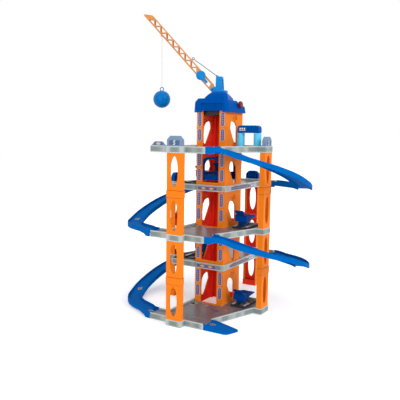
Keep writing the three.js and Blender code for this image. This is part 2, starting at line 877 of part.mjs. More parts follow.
// How far the ramp has fallen after a length: level at both ends, with an even slope between
function rampFall(length, whole) {
  const u = Math.min(length / (whole * (1 - RAMP_RUNOUT_share)), 1);
  const ease = RAMP_EASE_share;
  const slope = 1 / (1 - ease);
  if (u < ease) return (STOREY_HEIGHT * slope * u * u) / (2 * ease);
  if (u > 1 - ease) return STOREY_HEIGHT * (1 - (slope * (1 - u) * (1 - u)) / (2 * ease));
  return STOREY_HEIGHT * slope * (u - ease / 2);
}

function uRamp() {
  const route = rampRoute();
  const whole = route.at(-1).length;
  const stations = [0, RAMP_FLARE, RAMP_FLARE + RAMP_LIP];
  for (let i = 1; i < RAMP_STEPS; i++) stations.push((whole * i) / RAMP_STEPS);
  stations.push(whole - RAMP_FLARE - RAMP_LIP, whole - RAMP_FLARE, whole);
  stations.sort((a, b) => a - b);
  const rings = stations.map((length) => {
    const at = routeAt(route, length);
    const inFlare = length <= RAMP_FLARE || length >= whole - RAMP_FLARE;
    const half = (inFlare ? LANE_WIDTH - COLLAR_LIP : RAMP_WIDE) / 2;
    const skirt = inFlare ? BAND_HEIGHT : RAMP_SKIRT;
    const base = -rampFall(length, whole);
    const outX = inFlare ? 0 : at.outX;
    const outY = inFlare ? Math.sign(at.y) : at.outY;
    return rampSection(
      half,
      skirt,
    ).map(([side, up]) => [at.x + outX * side, at.y + outY * side, base + up]);
  });
  return loft(rings);
}

// The ramp's section: two walls with the road between them, part way up
function rampSection(half, skirt) {
  const road = -ROAD_DROP;
  const under = road - ROAD_SKIN;
  return [
    [-half, RAMP_LIP],
    [-half, -skirt],
    [RAMP_WALL - half, -skirt],
    [RAMP_WALL - half, under],
    [half - RAMP_WALL, under],
    [half - RAMP_WALL, -skirt],
    [half, -skirt],
    [half, RAMP_LIP],
    [half - RAMP_WALL, RAMP_LIP],
    [half - RAMP_WALL, road],
    [RAMP_WALL - half, road],
    [RAMP_WALL - half, RAMP_LIP],
  ];
}

// A solid skinned through rings of equal count, closed by the section at both ends
function loft(rings) {
  const count = rings[0].length;
  const places = rings.flat(2);
  const index = [];
  for (let i = 0; i < rings.length - 1; i++) {
    for (let j = 0; j < count; j++) {
      const a = i * count + j;
      const b = i * count + ((j + 1) % count);
      index.push(a, b, a + count, b, b + count, a + count);
    }
  }
  const flat = rampSection(RAMP_WIDE / 2, RAMP_SKIRT).map(([x, y]) => new THREE.Vector2(x, y));
  const last = (rings.length - 1) * count;
  for (const [a, b, c] of THREE.ShapeUtils.triangulateShape(flat, [])) {
    index.push(c, b, a, last + a, last + b, last + c);
  }
  const geometry = new THREE.BufferGeometry();
  geometry.setAttribute("position", new THREE.Float32BufferAttribute(places, 3));
  geometry.setIndex(index);
  const made = solidOf(geometry);
  if (made.volume() > 0) return made;
  for (let i = 0; i < index.length; i += 3) [index[i], index[i + 1]] = [index[i + 1], index[i]];
  geometry.setIndex(index);
  return solidOf(geometry);
}

// The ramp down to the floor: a wedge with low curbs, open below
function exitRamp() {
  const start = LANE_RIGHT + FIT;
  const end = start + EXIT_LENGTH;
  const front = -LANE_FRONT + RIM_WALL;
  const back = -LANE_BACK - RIM_WALL;
  const plan = outline([
    [start, front, 0],
    [end - EXIT_SKEW, front, EXIT_CORNER],
    [end, back, EXIT_CORNER],
    [start, back, 0],
  ]);
  const road = BAND_HEIGHT - ROAD_DROP;
  const profile = (rise) => {
    const shape = new THREE.Shape();
    shape.moveTo(start, 0);
    shape.lineTo(end, 0);
    shape.lineTo(end, EXIT_TOE + rise / 2);
    shape.lineTo(start + RAMP_FLARE, road + rise);
    shape.lineTo(start, road + rise);
    shape.closePath();
    return shape;
  };
  const body = prism(plan, 0, BAND_HEIGHT * 2).intersect(
    prismAlongY(profile(EXIT_CURB), front - OVERRUN, back + OVERRUN),
  );
  const above = new THREE.Shape();
  above.moveTo(start - OVERRUN, road);
  above.lineTo(start + RAMP_FLARE, road);
  above.lineTo(end, EXIT_TOE);
  above.lineTo(end + OVERRUN, EXIT_TOE);
  above.lineTo(end + OVERRUN, road * 3);
  above.lineTo(start - OVERRUN, road * 3);
  above.closePath();
  const below = new THREE.Shape();
  below.moveTo(start + RAMP_WALL, -OVERRUN);
  below.lineTo(end - EXIT_SKEW - EXIT_CORNER, -OVERRUN);
  below.lineTo(end - EXIT_SKEW - EXIT_CORNER, EXIT_TOE / 2);
  below.lineTo(start + RAMP_FLARE, road - ROAD_SKIN);
  below.lineTo(start + RAMP_WALL, road - ROAD_SKIN);
  below.closePath();
  return cut(
    body,
    prismAlongY(above, front + RAMP_WALL, back - RAMP_WALL),
    prismAlongY(below, front + RAMP_WALL, back - RAMP_WALL),
  );
}

function ramps() {
  const all = new THREE.Group();
  for (let level = DECK_COUNT; level > 1; level--) {
    const odd = isOdd(level);
    const mesh = piece(`${odd ? "right" : "left"}_ramp_${level}_to_${level - 1}`, uRamp(), BLUE);
    mesh.position.z = rimHeight(level);
    if (!odd) mesh.rotation.z = Math.PI;
    all.add(mesh);
  }
  all.add(piece("exit_ramp", exitRamp(), BLUE));
  return all;
}

// A ring of the roof's form: left and right edges at the front and at the back, with cut corners
function roofRing({ front, back, frontY, backY, rise }, wall, floor = false) {
  const up = TOWER_TOP + rise - (floor ? 0 : wall);
  const near = frontY + wall;
  const far = backY - wall;
  return [
    [front[0] + wall, near + ROOF_CORNER, up],
    [front[0] + wall + ROOF_CORNER, near, up],
    [front[1] - wall - ROOF_CORNER, near, up],
    [front[1] - wall, near + ROOF_CORNER, up],
    [back[0] + wall, far - ROOF_CORNER, up],
    [back[0] + wall + ROOF_CORNER, far, up],
    [back[1] - wall - ROOF_CORNER, far, up],
    [back[1] - wall, far - ROOF_CORNER, up],
  ];
}

// The skin stretched over some rings, the first of which is open when the form is hollowed
const roofBlock = (rings, wall) =>
  wasm.Manifold.hull(rings.flatMap((ring, i) => roofRing(ring, wall, i === 0)));

const squareRing = (left, right, frontY, backY, rise) => ({
  front: [left, right],
  back: [left, right],
  frontY,
  backY,
  rise,
});

// The roof's form: a skirt, a shoulder to the left, a housing to the right and a crest from front right to back left
function roofForm(wall) {
  const foot = -ROOF_SKIRT_DROP - (wall ? OVERRUN : 0);
  const lean = ROOF_X - ROOF_LEAN;
  const eave = lean - ROOF_EAVE;
  const back = ROOF_Y - ROOF_LEAN;
  const skirt = [
    squareRing(-ROOF_X, ROOF_X, -ROOF_Y, ROOF_Y, foot),
    squareRing(-lean, lean, -ROOF_Y, back, ROOF_SKIRT_RISE),
    squareRing(-eave, eave, ROOF_EAVE - ROOF_Y, back - ROOF_EAVE, ROOF_EAVE_RISE),
  ];
  const shoulder = [
    squareRing(-ROOF_X, 0, -ROOF_Y, back, foot),
    squareRing(-ROOF_X + ROOF_LEAN, 0, -ROOF_Y, back - ROOF_LEAN, ROOF_SHOULDER_FOOT),
    squareRing(
      -ROOF_SHOULDER_X,
      0,
      ROOF_EAVE - ROOF_Y,
      back - ROOF_LEAN - ROOF_EAVE,
      ROOF_SHOULDER_RISE,
    ),
  ];
  const housing = [
    squareRing(0, ROOF_X, -ROOF_Y, ROOF_HOUSING_BACK, foot),
    squareRing(0, ROOF_HOUSING_X, -ROOF_Y, ROOF_HOUSING_BACK, ROOF_HOUSING_FOOT),
    squareRing(
      0,
      ROOF_SHOULDER_X,
      ROOF_EAVE - ROOF_Y,
      ROOF_HOUSING_BACK - ROOF_EAVE,
      ROOF_HOUSING_RISE,
    ),
  ];
  const crest = [
    {
      front: [-PANEL_LEFT, ROOF_HOUSING_X],
      back: [-ROOF_HOUSING_X, ROOF_FLANK_LEFT],
      frontY: -ROOF_Y,
      backY: back,
      rise: ROOF_SKIRT_RISE,
    },
    {
      front: [-ROOF_FLANK_LEFT, ROOF_FLANK_RIGHT],
      back: [-ROOF_FLANK_RIGHT, ROOF_FLANK_BACK],
      frontY: ROOF_LEAN - ROOF_Y,
      backY: back,
      rise: ROOF_FLANK_RISE,
    },
    {
      front: [-ROOF_BROW_LEFT, ROOF_BROW_RIGHT],
      back: [-ROOF_BROW_RIGHT, ROOF_BROW_BACK],
      frontY: 2 * ROOF_LEAN - ROOF_Y,
      backY: back - ROOF_LEAN,
      rise: ROOF_BROW_RISE,
    },
    {
      front: [-ROOF_CREST_LEFT, ROOF_CREST_RIGHT],
      back: [-ROOF_CREST_RIGHT, ROOF_CREST_BACK],
      frontY: -ROOF_CREST_Y,
      backY: ROOF_CREST_Y,
      rise: ROOF_RISE,
    },
  ];
  return join([skirt, shoulder, housing, crest].map((rings) => roofBlock(rings, wall)));
}

// The space of the sunk panels in the front and back skirts, grown by a wall on the inside
function panelSpace(wall) {
  const front = block(
    -PANEL_LEFT - wall,
    PANEL_RIGHT + wall,
    -ROOF_Y - OVERRUN,
    PANEL_DEPTH + wall - ROOF_Y,
    TOWER_TOP - ROOF_SKIRT_DROP - 2 * OVERRUN,
    TOWER_TOP + PANEL_RISE + wall,
  );
  return join(front, front.rotate([0, 0, 180]));
}

function panelRibs() {
  const ribs = [];
  const start = (PANEL_RIGHT - PANEL_LEFT - (PANEL_RIBS - 1) * PANEL_RIB_PITCH) / 2;
  for (let i = 0; i < PANEL_RIBS; i++) {
    const x = start + i * PANEL_RIB_PITCH;
    ribs.push(block(
      x,
      x + PANEL_RIB,
      PANEL_RIB / 2 - ROOF_Y,
      PANEL_DEPTH + ROOF_WALL / 2 - ROOF_Y,
      TOWER_TOP,
      TOWER_TOP + PANEL_RISE + ROOF_WALL / 2,
    ));
  }
  const front = join(ribs);
  return join(front, front.rotate([0, 0, 180]));
}

function roof() {
  const ledgeInner = TOWER_X - TOWER_WALL;
  const outside = cut(roofForm(0), panelSpace(0));
  const inside = cut(roofForm(ROOF_WALL), panelSpace(ROOF_WALL));
  const ledge = cut(
    block(
      RIM_WALL - ROOF_X,
      ROOF_X - RIM_WALL,
      RIM_WALL - ROOF_Y,
      ROOF_Y - RIM_WALL,
      TOWER_TOP + HOIST_PLATE,
      TOWER_TOP + HOIST_PLATE + ROOF_LEDGE,
    ),
    block(
      -ledgeInner,
      ledgeInner,
      TOWER_WALL - TOWER_Y,
      TOWER_Y - TOWER_WALL,
      TOWER_TOP - OVERRUN,
      TOWER_TOP + ROOF_RISE,
    ),
  );
  const shell = join(cut(outside, inside), ledge.intersect(outside), panelRibs());
  const arch = block(
    -PANEL_LEFT,
    PANEL_RIGHT,
    -ROOF_Y - OVERRUN,
    0,
    TOWER_TOP - ROOF_SKIRT_DROP - OVERRUN,
    TOWER_TOP - ROOF_SKIRT_DROP + ROOF_ARCH - HOIST_PLATE,
  );
  const stubHole = barZ(
    0,
    0,
    STUB_RADIUS + RUN,
    TOWER_TOP + ROOF_FLANK_RISE,
    TOWER_TOP + ROOF_RISE + OVERRUN,
    DISC_SIDES,
  );
  const shaftHole = barX(
    HOIST_Y,
    TOWER_TOP + HOIST_RISE,
    HOIST_SHAFT + RUN,
    TOWER_X,
    ROOF_X + OVERRUN,
    PIN_SIDES,
  );
  return cut(shell, arch, arch.rotate([0, 0, 180]), stubHole, shaftHole);
}

// The hoist under the roof: a cradle on the tower's top carries the winding drum
function hoistCradle() {
  const top = TOWER_TOP + HOIST_PLATE;
  const plate = cut(
    block(-TOWER_X, TOWER_X, -TOWER_Y, TOWER_Y, TOWER_TOP, top),
    block(-HOIST_LEFT, HOIST_RIGHT, -HOIST_BAR_Y, HOIST_BAR_Y, TOWER_TOP - OVERRUN, top + OVERRUN),
    keyHoles(),
  );
  const foot = TOWER_TOP - HOIST_DROP;
  const cheekTop = TOWER_TOP + HOIST_RISE + HOIST_SHAFT + HOIST_CHEEK;
  const reach = HOIST_BAR_Y;
  const cheek = (x) => {
    const side = new THREE.Shape();
    side.moveTo(-reach, foot);
    side.lineTo(reach, foot);
    side.lineTo(reach, top);
    side.lineTo(HOIST_Y + GEAR_RADIUS, top);
    side.lineTo(HOIST_Y + HOIST_DRUM, cheekTop);
    side.lineTo(HOIST_Y - HOIST_DRUM, cheekTop);
    side.lineTo(HOIST_Y - GEAR_RADIUS, top);
    side.lineTo(-reach, top);
    side.closePath();
    return prismAlongX(side, x, x + HOIST_CHEEK);
  };
  const bar = (y) => block(-HOIST_LEFT, HOIST_RIGHT, y, y + HOIST_BAR, foot, top);
  const bore = barX(HOIST_Y, TOWER_TOP + HOIST_RISE, HOIST_SHAFT + FIT, -TOWER_X, TOWER_X, PIN_SIDES);
  return cut(
    join(
      plate,
      cheek(-HOIST_LEFT),
      cheek(HOIST_RIGHT - HOIST_CHEEK),
      bar(-reach),
      bar(reach - HOIST_BAR),
    ),
    bore,
  );
}

// Holes for the top storey's keys
function keyHoles() {
  const inner = TOWER_X - TOWER_WALL;
  const holes = [];
  for (const x of [-1, 1]) {
    for (const y of [-1, 1]) {
      const y0 = Math.min(y * (KEY_OFFSET - KEY_WIDE), y * KEY_OFFSET) - FIT;
      const y1 = y0 + KEY_WIDE + 2 * FIT;
      holes.push(sideBlock(
        x,
        inner - FIT - KEY_THICK - FIT,
        inner,
        y0,
        y1,
        TOWER_TOP - OVERRUN,
        TOWER_TOP + KEY_RISE,
      ));
    }
  }
  return holes;
}

function toothedWheel(radius, tooth, teeth) {
  const shape = new THREE.Shape();
  for (let i = 0; i < teeth; i++) {
    const step = (2 * Math.PI) / teeth;
    [radius - tooth, radius - tooth, radius, radius].forEach((r, j) => {
      const angle = i * step + (j * step) / 4;
      const x = r * Math.cos(angle);
      const y = r * Math.sin(angle);
      if (i === 0 && j === 0) shape.moveTo(x, y);
      else shape.lineTo(x, y);
    });
  }
  shape.closePath();
  return shape;
}

function hoistDrum() {
  const z = TOWER_TOP + HOIST_RISE;
  const inner = -HOIST_LEFT + HOIST_CHEEK + RUN;
  const outer = HOIST_RIGHT - HOIST_CHEEK - RUN;
  const gear = prismAlongX(toothedWheel(GEAR_RADIUS, GEAR_TOOTH, GEAR_TEETH), 0, GEAR_THICK)
    .translate([inner, HOIST_Y, z]);
  return join(
    barX(HOIST_Y, z, HOIST_DRUM, inner, outer, PIN_SIDES),
    barX(HOIST_Y, z, HOIST_SHAFT, -HOIST_LEFT - HOIST_CHEEK, ROOF_X + KNOB_THICK / 2, PIN_SIDES),
    barX(HOIST_Y, z, HOIST_DRUM + GEAR_TOOTH, outer - HOIST_CHEEK, outer, PIN_SIDES),
    gear,
  );
}

function liftKnob() {
  const z = TOWER_TOP + HOIST_RISE;
  const start = ROOF_X + RUN;
  const grips = prismAlongX(toothedWheel(KNOB_RADIUS, KNOB_GRIP, KNOB_GRIPS), 0, KNOB_THICK - KNOB_GRIP)
    .translate([start, HOIST_Y, z]);
  return cut(
    join(grips, barX(HOIST_Y, z, KNOB_RADIUS - KNOB_GRIP, start, start + KNOB_THICK)),
    barX(HOIST_Y, z, HOIST_SHAFT + FIT, start - OVERRUN, ROOF_X + KNOB_THICK / 2 + FIT, PIN_SIDES),
  );
}

// The lift cabin: a deep floor between two arched frames, with shoes that straddle the guide rails
function liftCabin() {
  const archShape = (half, foot, head, round) =>
    outline([
      [-half, foot, 0],
      [half, foot, 0],
      [half, head, round],
      [-half, head, round],
    ]);
  const frame = cut(
    prismAlongY(archShape(CABIN_X, 0, CABIN_HEIGHT, CABIN_ROUND + CABIN_POST / 2), -CABIN_Y, CABIN_Y),
    prismAlongY(
      archShape(CABIN_X - CABIN_POST, CABIN_BASE, CABIN_HEIGHT - CABIN_LINTEL, CABIN_ROUND),
      -CABIN_Y - OVERRUN,
      CABIN_Y + OVERRUN,
    ),
    block(
      -CABIN_X - OVERRUN,
      CABIN_X + OVERRUN,
      CABIN_FRAME - CABIN_Y,
      CABIN_Y - CABIN_FRAME,
      CABIN_BASE + CABIN_LIP,
      CABIN_HEIGHT + OVERRUN,
    ),
    block(
      CABIN_SIDE - CABIN_X,
      CABIN_X - CABIN_SIDE,
      CABIN_SIDE - CABIN_Y,
      CABIN_Y - CABIN_SIDE,
      -OVERRUN,
      CABIN_BASE - CABIN_FLOOR,
    ),
  );
  const ridge = block(
    -CABIN_RIDGE,
    CABIN_RIDGE,
    -CABIN_Y,
    CABIN_Y,
    CABIN_HEIGHT - CABIN_RIDGE,
    CABIN_HEIGHT,
  );
  const postTop = CABIN_HEIGHT - CABIN_ROUND;
  const railTip = TOWER_X - TOWER_WALL - RAIL_REACH;
  const guides = [];
  for (const x of [-1, 1]) {
    for (const y of [-1, 1]) {
      const y0 = Math.min(y * CABIN_Y, y * (RAIL_OFFSET - SHOE_WALL * 2));
      const y1 = Math.max(y * CABIN_Y, y * (RAIL_OFFSET - SHOE_WALL * 2));
      guides.push(sideBlock(x, CABIN_X - CABIN_SIDE, CABIN_X, y0, y1, 0, postTop));
      for (const z of [0, postTop - SHOE_LONG]) guides.push(shoe(x, y, z, railTip));
    }
  }
  return join(frame, ridge, guides);
}

function shoe(x, y, z, railTip) {
  const edge = y * RAIL_OFFSET;
  const gap = RAIL_THICK / 2 + RUN;
  const outer = sideBlock(
    x,
    CABIN_X - CABIN_SIDE,
    railTip + SHOE_WALL * 1.5,
    edge - gap - SHOE_WALL,
    edge + gap + SHOE_WALL,
    z,
    z + SHOE_LONG,
  );
  const groove = sideBlock(
    x,
    railTip - RUN,
    TOWER_X,
    edge - gap,
    edge + gap,
    z - OVERRUN,
    z + SHOE_LONG + OVERRUN,
  );
  return outer.subtract(groove);
}

function lift() {
  const all = new THREE.Group();
  const cabin = piece("lift_cabin", liftCabin(), DARK_BLUE);
  cabin.position.z = rimHeight(4) + CABIN_ABOVE;
  all.add(cabin);
  all.add(piece("hoist_cradle", hoistCradle(), DARK));
  all.add(piece("hoist_drum", hoistDrum(), DARK));
  all.add(piece("lift_knob", liftKnob(), RED));
  return all;
}

// Crane, in a frame whose x runs along the boom's heading
const ROOF_TOP = TOWER_TOP + ROOF_RISE;
const TURN_FOOT = ROOF_TOP + FIT;
const TURN_TOP = TURN_FOOT + TURN_THICK;
const PIVOT_Z = ROOF_TOP + PIVOT_RISE;

function craneTurntable() {
  const profile = [
    [0, ROOF_TOP - ROOF_WALL - FIT - SNAP_THICK],
    [STUB_RADIUS + SNAP_LIP, ROOF_TOP - ROOF_WALL - FIT - SNAP_THICK],
    [STUB_RADIUS + SNAP_LIP, ROOF_TOP - ROOF_WALL - FIT],
    [STUB_RADIUS, ROOF_TOP - ROOF_WALL - FIT],
    [STUB_RADIUS, TURN_FOOT],
    [TURN_RADIUS, TURN_FOOT],
    [TURN_RADIUS, TURN_TOP - SNAP_LIP],
    [TURN_RADIUS - SNAP_LIP, TURN_TOP],
    [0, TURN_TOP],
  ].map(([x, y]) => new THREE.Vector2(x, y));
  const lathe = new THREE.LatheGeometry(profile, DISC_SIDES);
  lathe.rotateX(Math.PI / 2);
  const disc = solidOf(lathe);
  const notchHalf = BOOM_HALF + EAR_THICK + FIT + FIT;
  return cut(
    disc,
    block(
      MAST_FRONT,
      TURN_RADIUS + OVERRUN,
      -notchHalf,
      notchHalf,
      TURN_FOOT - OVERRUN,
      TURN_TOP + OVERRUN,
    ),
  );
}

function craneMast() {
  const side = new THREE.Shape();
  side.moveTo(-MAST_BACK, TURN_TOP);
  side.lineTo(MAST_FRONT, TURN_TOP);
  side.lineTo(MAST_FRONT - MAST_TAPER / 3, TURN_TOP + MAST_RISE);
  side.lineTo(MAST_FRONT - MAST_TAPER, TURN_TOP + MAST_RISE + MAST_PEAK);
  side.lineTo(MAST_FRONT - MAST_TAPER * 2, TURN_TOP + MAST_RISE);
  side.lineTo(MAST_TAPER - MAST_BACK, TURN_TOP + MAST_RISE);
  side.closePath();
  const body = prismAlongY(side, -MAST_HALF, MAST_HALF);
  const head = TURN_TOP + MAST_RISE;
  const eyeSlot = block(
    0,
    MAST_FRONT,
    -STAY_RADIUS - RUN,
    STAY_RADIUS + RUN,
    head - MAST_TAPER,
    head + MAST_PEAK + OVERRUN,
  );
  const hollow = block(
    MAST_TAPER - MAST_BACK - OVERRUN * 3,
    MAST_FRONT - MAST_TAPER * 1.5,
    CAP_WALL - MAST_HALF,
    MAST_HALF - CAP_WALL,
    TURN_TOP + MAST_TAPER,
    head - MAST_TAPER * 2,
  );
  const ears = [-1, 1].map((sign) => {
    const ear = new THREE.Shape();
    ear.moveTo(0, TURN_TOP);
    ear.lineTo(MAST_FRONT, TURN_TOP);
    ear.lineTo(PIVOT_ALONG, PIVOT_Z - LUG_RADIUS);
    ear.absarc(PIVOT_ALONG, PIVOT_Z, LUG_RADIUS, -Math.PI / 2, Math.PI / 2, false);
    ear.lineTo(0, PIVOT_Z + LUG_RADIUS * 2);
    ear.closePath();
    const inner = BOOM_HALF + FIT;
    const y0 = sign > 0 ? inner : -inner - EAR_THICK;
    return prismAlongY(ear, y0, y0 + EAR_THICK, CURVE_FINE);
  });
  const pinHole = barY(
    PIVOT_ALONG,
    PIVOT_Z,
    PIN_RADIUS + FIT,
    -MAST_HALF - OVERRUN,
    MAST_HALF + OVERRUN,
    PIN_SIDES,
  );
  return cut(join(cut(body, hollow), ears), eyeSlot, pinHole);
}

// The boom's side view along its own axis u from the pivot, v square to it
function boomSolid() {
  const shape = new THREE.Shape();
  const up = BOOM_ABOVE;
  const down = -BOOM_BELOW;
  shape.moveTo(LUG_RADIUS, down);
  shape.lineTo(BOOM_LENGTH - BOOM_TIP, down);
  shape.lineTo(BOOM_LENGTH, down + BOOM_TIP / 2);
  shape.lineTo(BOOM_LENGTH - BOOM_TIP / 2, down + BOOM_TIP);
  shape.lineTo(BOOM_LENGTH - BOOM_NOSE, up);
  shape.lineTo(LUG_RADIUS * 2, up);
  shape.absarc(0, 0, LUG_RADIUS, Math.PI / 2, (Math.PI * 3) / 2, false);
  shape.closePath();
  const gaps = latticeHoles().map((gap) => prismAlongY(gap, -BOOM_HALF - OVERRUN, BOOM_HALF + OVERRUN));
  const body = cut(prismAlongY(shape, -BOOM_HALF, BOOM_HALF, CURVE_FINE), gaps);
  const slot = block(
    LATTICE_START,
    LATTICE_END,
    BOOM_SKIN - BOOM_HALF,
    BOOM_HALF - BOOM_SKIN,
    down - OVERRUN,
    up - BOOM_CHORD,
  );
  const eyelet = barY(STRING_ALONG, down, EYELET_RADIUS, -BOOM_HALF, BOOM_HALF, PIN_SIDES);
  return cut(
    join(cut(body, slot), eyelet),
    barY(0, 0, PIN_RADIUS + FIT, -BOOM_HALF - OVERRUN, BOOM_HALF + OVERRUN, PIN_SIDES),
    barY(
      WINCH_ALONG,
      WINCH_ABOVE,
      WINCH_SHAFT + FIT,
      -BOOM_HALF - OVERRUN,
      BOOM_HALF + OVERRUN,
      PIN_SIDES,
    ),
  );
}

// Triangular gaps between the chords, leaning to and fro, and one slim window near the foot
function latticeHoles() {
  const up = BOOM_ABOVE - BOOM_CHORD;
  const down = BOOM_CHORD - BOOM_BELOW;
  const bay = (LATTICE_END - LATTICE_START) / BOOM_BAYS;
  const web = BOOM_WEB;
  const holes = [];
  const triangle = (corners) => {
    const path = new THREE.Shape();
    corners.forEach(([x, y], i) => (i ? path.lineTo(x, y) : path.moveTo(x, y)));
    path.closePath();
    return path;
  };
  for (let i = 0; i < BOOM_BAYS; i++) {
    const x = LATTICE_START + i * bay;
    holes.push(triangle([[x + web, down], [x + bay - web, down], [x + bay / 2, up - web]]));
    if (i > 0) holes.push(triangle([[x, down + web], [x + bay / 2 - web, up], [x - bay / 2 + web, up]]));
  }
  const windowEnd = WINCH_ALONG - WINCH_SHAFT * 3;
  holes.push(triangle([[FOOT_WINDOW, down], [windowEnd, down], [windowEnd, up - web], [FOOT_WINDOW + web * 2, up - web]]));
  return holes;
}

// The winch: a drum at the boom's side with a crank, turning on a stub through the boom
function winch() {
  const side = BOOM_HALF + FIT;
  const outer = side + WINCH_THICK;
  const disc = join(
    barY(0, 0, WINCH_RADIUS, side, side + WINCH_THICK / 3),
    barY(0, 0, WINCH_RADIUS - BOOM_SKIN, side, outer),
    barY(0, 0, WINCH_RADIUS, outer - WINCH_THICK / 3, outer),
  );
  const arm = outline([
    [-CRANK_REACH, -CRANK_WIDE / 2, CRANK_WIDE / 3],
    [0, -CRANK_WIDE / 2 - WINCH_SHAFT, 0],
    [0, CRANK_WIDE / 2 + WINCH_SHAFT, 0],
    [-CRANK_REACH, CRANK_WIDE / 2, CRANK_WIDE / 3],
  ]);
  return join(
    disc,
    barY(0, 0, WINCH_SHAFT, -BOOM_HALF - FIT - SNAP_LIP, side + OVERRUN, PIN_SIDES),
    barY(0, 0, WINCH_SHAFT + SNAP_LIP, -BOOM_HALF - FIT - SNAP_LIP, -BOOM_HALF - FIT, PIN_SIDES),
    barY(0, 0, WINCH_RADIUS / 2, side, outer + SNAP_LIP, PIN_SIDES),
    prismAlongY(arm, outer - CRANK_THICK / 2, outer + CRANK_THICK),
    barY(
      CRANK_WIDE / 2 - CRANK_REACH,
      0,
      CRANK_WIDE / 2,
      outer,
      outer + CRANK_THICK + CRANK_KNOB,
      PIN_SIDES,
    ),
  );
}

// A wire bent to a ring at its lower end, as a tube along its line
function tube(points, radius, steps, sides) {
  const path = new THREE.CatmullRomCurve3(
    points.map((p) => new THREE.Vector3(...p)),
    false,
    "catmullrom",
    0,
  );
  const section = new THREE.Shape();
  for (let i = 0; i <= sides; i++) {
    const angle = (2 * Math.PI * i) / sides;
    const x = radius * Math.cos(angle);
    const y = radius * Math.sin(angle);
    if (i === 0) section.moveTo(x, y);
    else if (i < sides) section.lineTo(x, y);
  }
  section.closePath();
  return solidOf(new THREE.ExtrudeGeometry(section, { steps, bevelEnabled: false, extrudePath: path }));
}

const torus = (radius, wire, around, sides) => new THREE.TorusGeometry(radius, wire, sides, around);

// Where the stay starts on the mast and where it meets the boom's top chord
const boomRad = THREE.MathUtils.degToRad(BOOM_ANGLE);
const boomPoint = (u, v) => [
  PIVOT_ALONG + u * Math.cos(boomRad) - v * Math.sin(boomRad),
  PIVOT_Z + u * Math.sin(boomRad) + v * Math.cos(boomRad),
];
const STAY_TOP = [MAST_FRONT - MAST_TAPER, TURN_TOP + MAST_RISE + STAY_RADIUS];

function stayRod() {
  const ringAbove = BOOM_ABOVE + STAY_CLEAR + STAY_RING + STAY_RADIUS;
  const [endX, endZ] = boomPoint(STAY_ALONG, ringAbove);
  const length = Math.hypot(endX - STAY_TOP[0], endZ - STAY_TOP[1]);
  const rod = barX(0, 0, STAY_RADIUS, 0, length - STAY_RING, WIRE_SIDES);
  const ring = torus(STAY_RING, STAY_RADIUS, PIN_SIDES, WIRE_SIDES);
  ring.rotateX(Math.PI / 2);
  ring.translate(length, 0, 0);
  const eye = barY(0, 0, STAY_RADIUS * 1.4, -STAY_RADIUS, STAY_RADIUS, PIN_SIDES);
  return join(rod, solidOf(ring), eye);
}

function wreckingBall() {
  const sphere = new THREE.SphereGeometry(BALL_RADIUS, DISC_SIDES, DISC_SIDES / 2);
  sphere.rotateX(Math.PI / 2);
  const ring = torus(BALL_RING - BALL_WIRE, BALL_WIRE, PIN_SIDES, WIRE_SIDES);
  ring.rotateX(Math.PI / 2);
  ring.translate(0, 0, BALL_RADIUS + BALL_RING - BALL_WIRE * 2);
  return join(solidOf(sphere), solidOf(ring));
}

function crane() {
  const all = new THREE.Group();
  all.rotation.z = THREE.MathUtils.degToRad(BOOM_HEADING);
  all.add(piece("crane_turntable", craneTurntable(), SKY_BLUE));
  all.add(piece("crane_mast", craneMast(), SKY_BLUE));
  const luff = new THREE.Group();
  luff.position.set(PIVOT_ALONG, 0, PIVOT_Z);
  luff.rotation.y = -boomRad;
  luff.add(piece("boom", boomSolid(), ORANGE));
  const crank = piece("string_winch", winch(), SKY_BLUE);
  crank.position.set(WINCH_ALONG, 0, WINCH_ABOVE);
  luff.add(crank);
  all.add(luff);
  const pin = piece(
    "boom_pin",
    barY(0, 0, PIN_RADIUS, -BOOM_HALF - FIT - EAR_THICK, BOOM_HALF + FIT + EAR_THICK, PIN_SIDES),
    DARK,
  );
  pin.position.set(PIVOT_ALONG, 0, PIVOT_Z);
  all.add(pin);
  const stay = piece("boom_stay", stayRod(), WIRE);
  const [endX, endZ] = boomPoint(STAY_ALONG, BOOM_ABOVE + STAY_CLEAR + STAY_RING + STAY_RADIUS);
  stay.position.set(STAY_TOP[0], 0, STAY_TOP[1]);
  stay.rotation.y = -Math.atan2(endZ - STAY_TOP[1], endX - STAY_TOP[0]);
  all.add(stay);
  const [stringX, stringZ] = boomPoint(STRING_ALONG, -BOOM_BELOW);
  const stringTop = stringZ - EYELET_RADIUS - FIT;
  const stringFoot = stringTop - STRING_LENGTH;
  const string = piece(
    "hoist_string",
    tube([[0, 0, stringFoot], [0, 0, stringTop]], STRING_RADIUS, PIN_SIDES, WIRE_SIDES),
    STRING,
  );
  string.position.x = stringX;
  all.add(string);
  const ball = piece("wrecking_ball", wreckingBall(), BLUE);
  ball.position.set(stringX, 0, stringFoot - FIT - BALL_RING * 2 + BALL_WIRE * 2 - BALL_RADIUS);
  all.add(ball);
  return all;
}

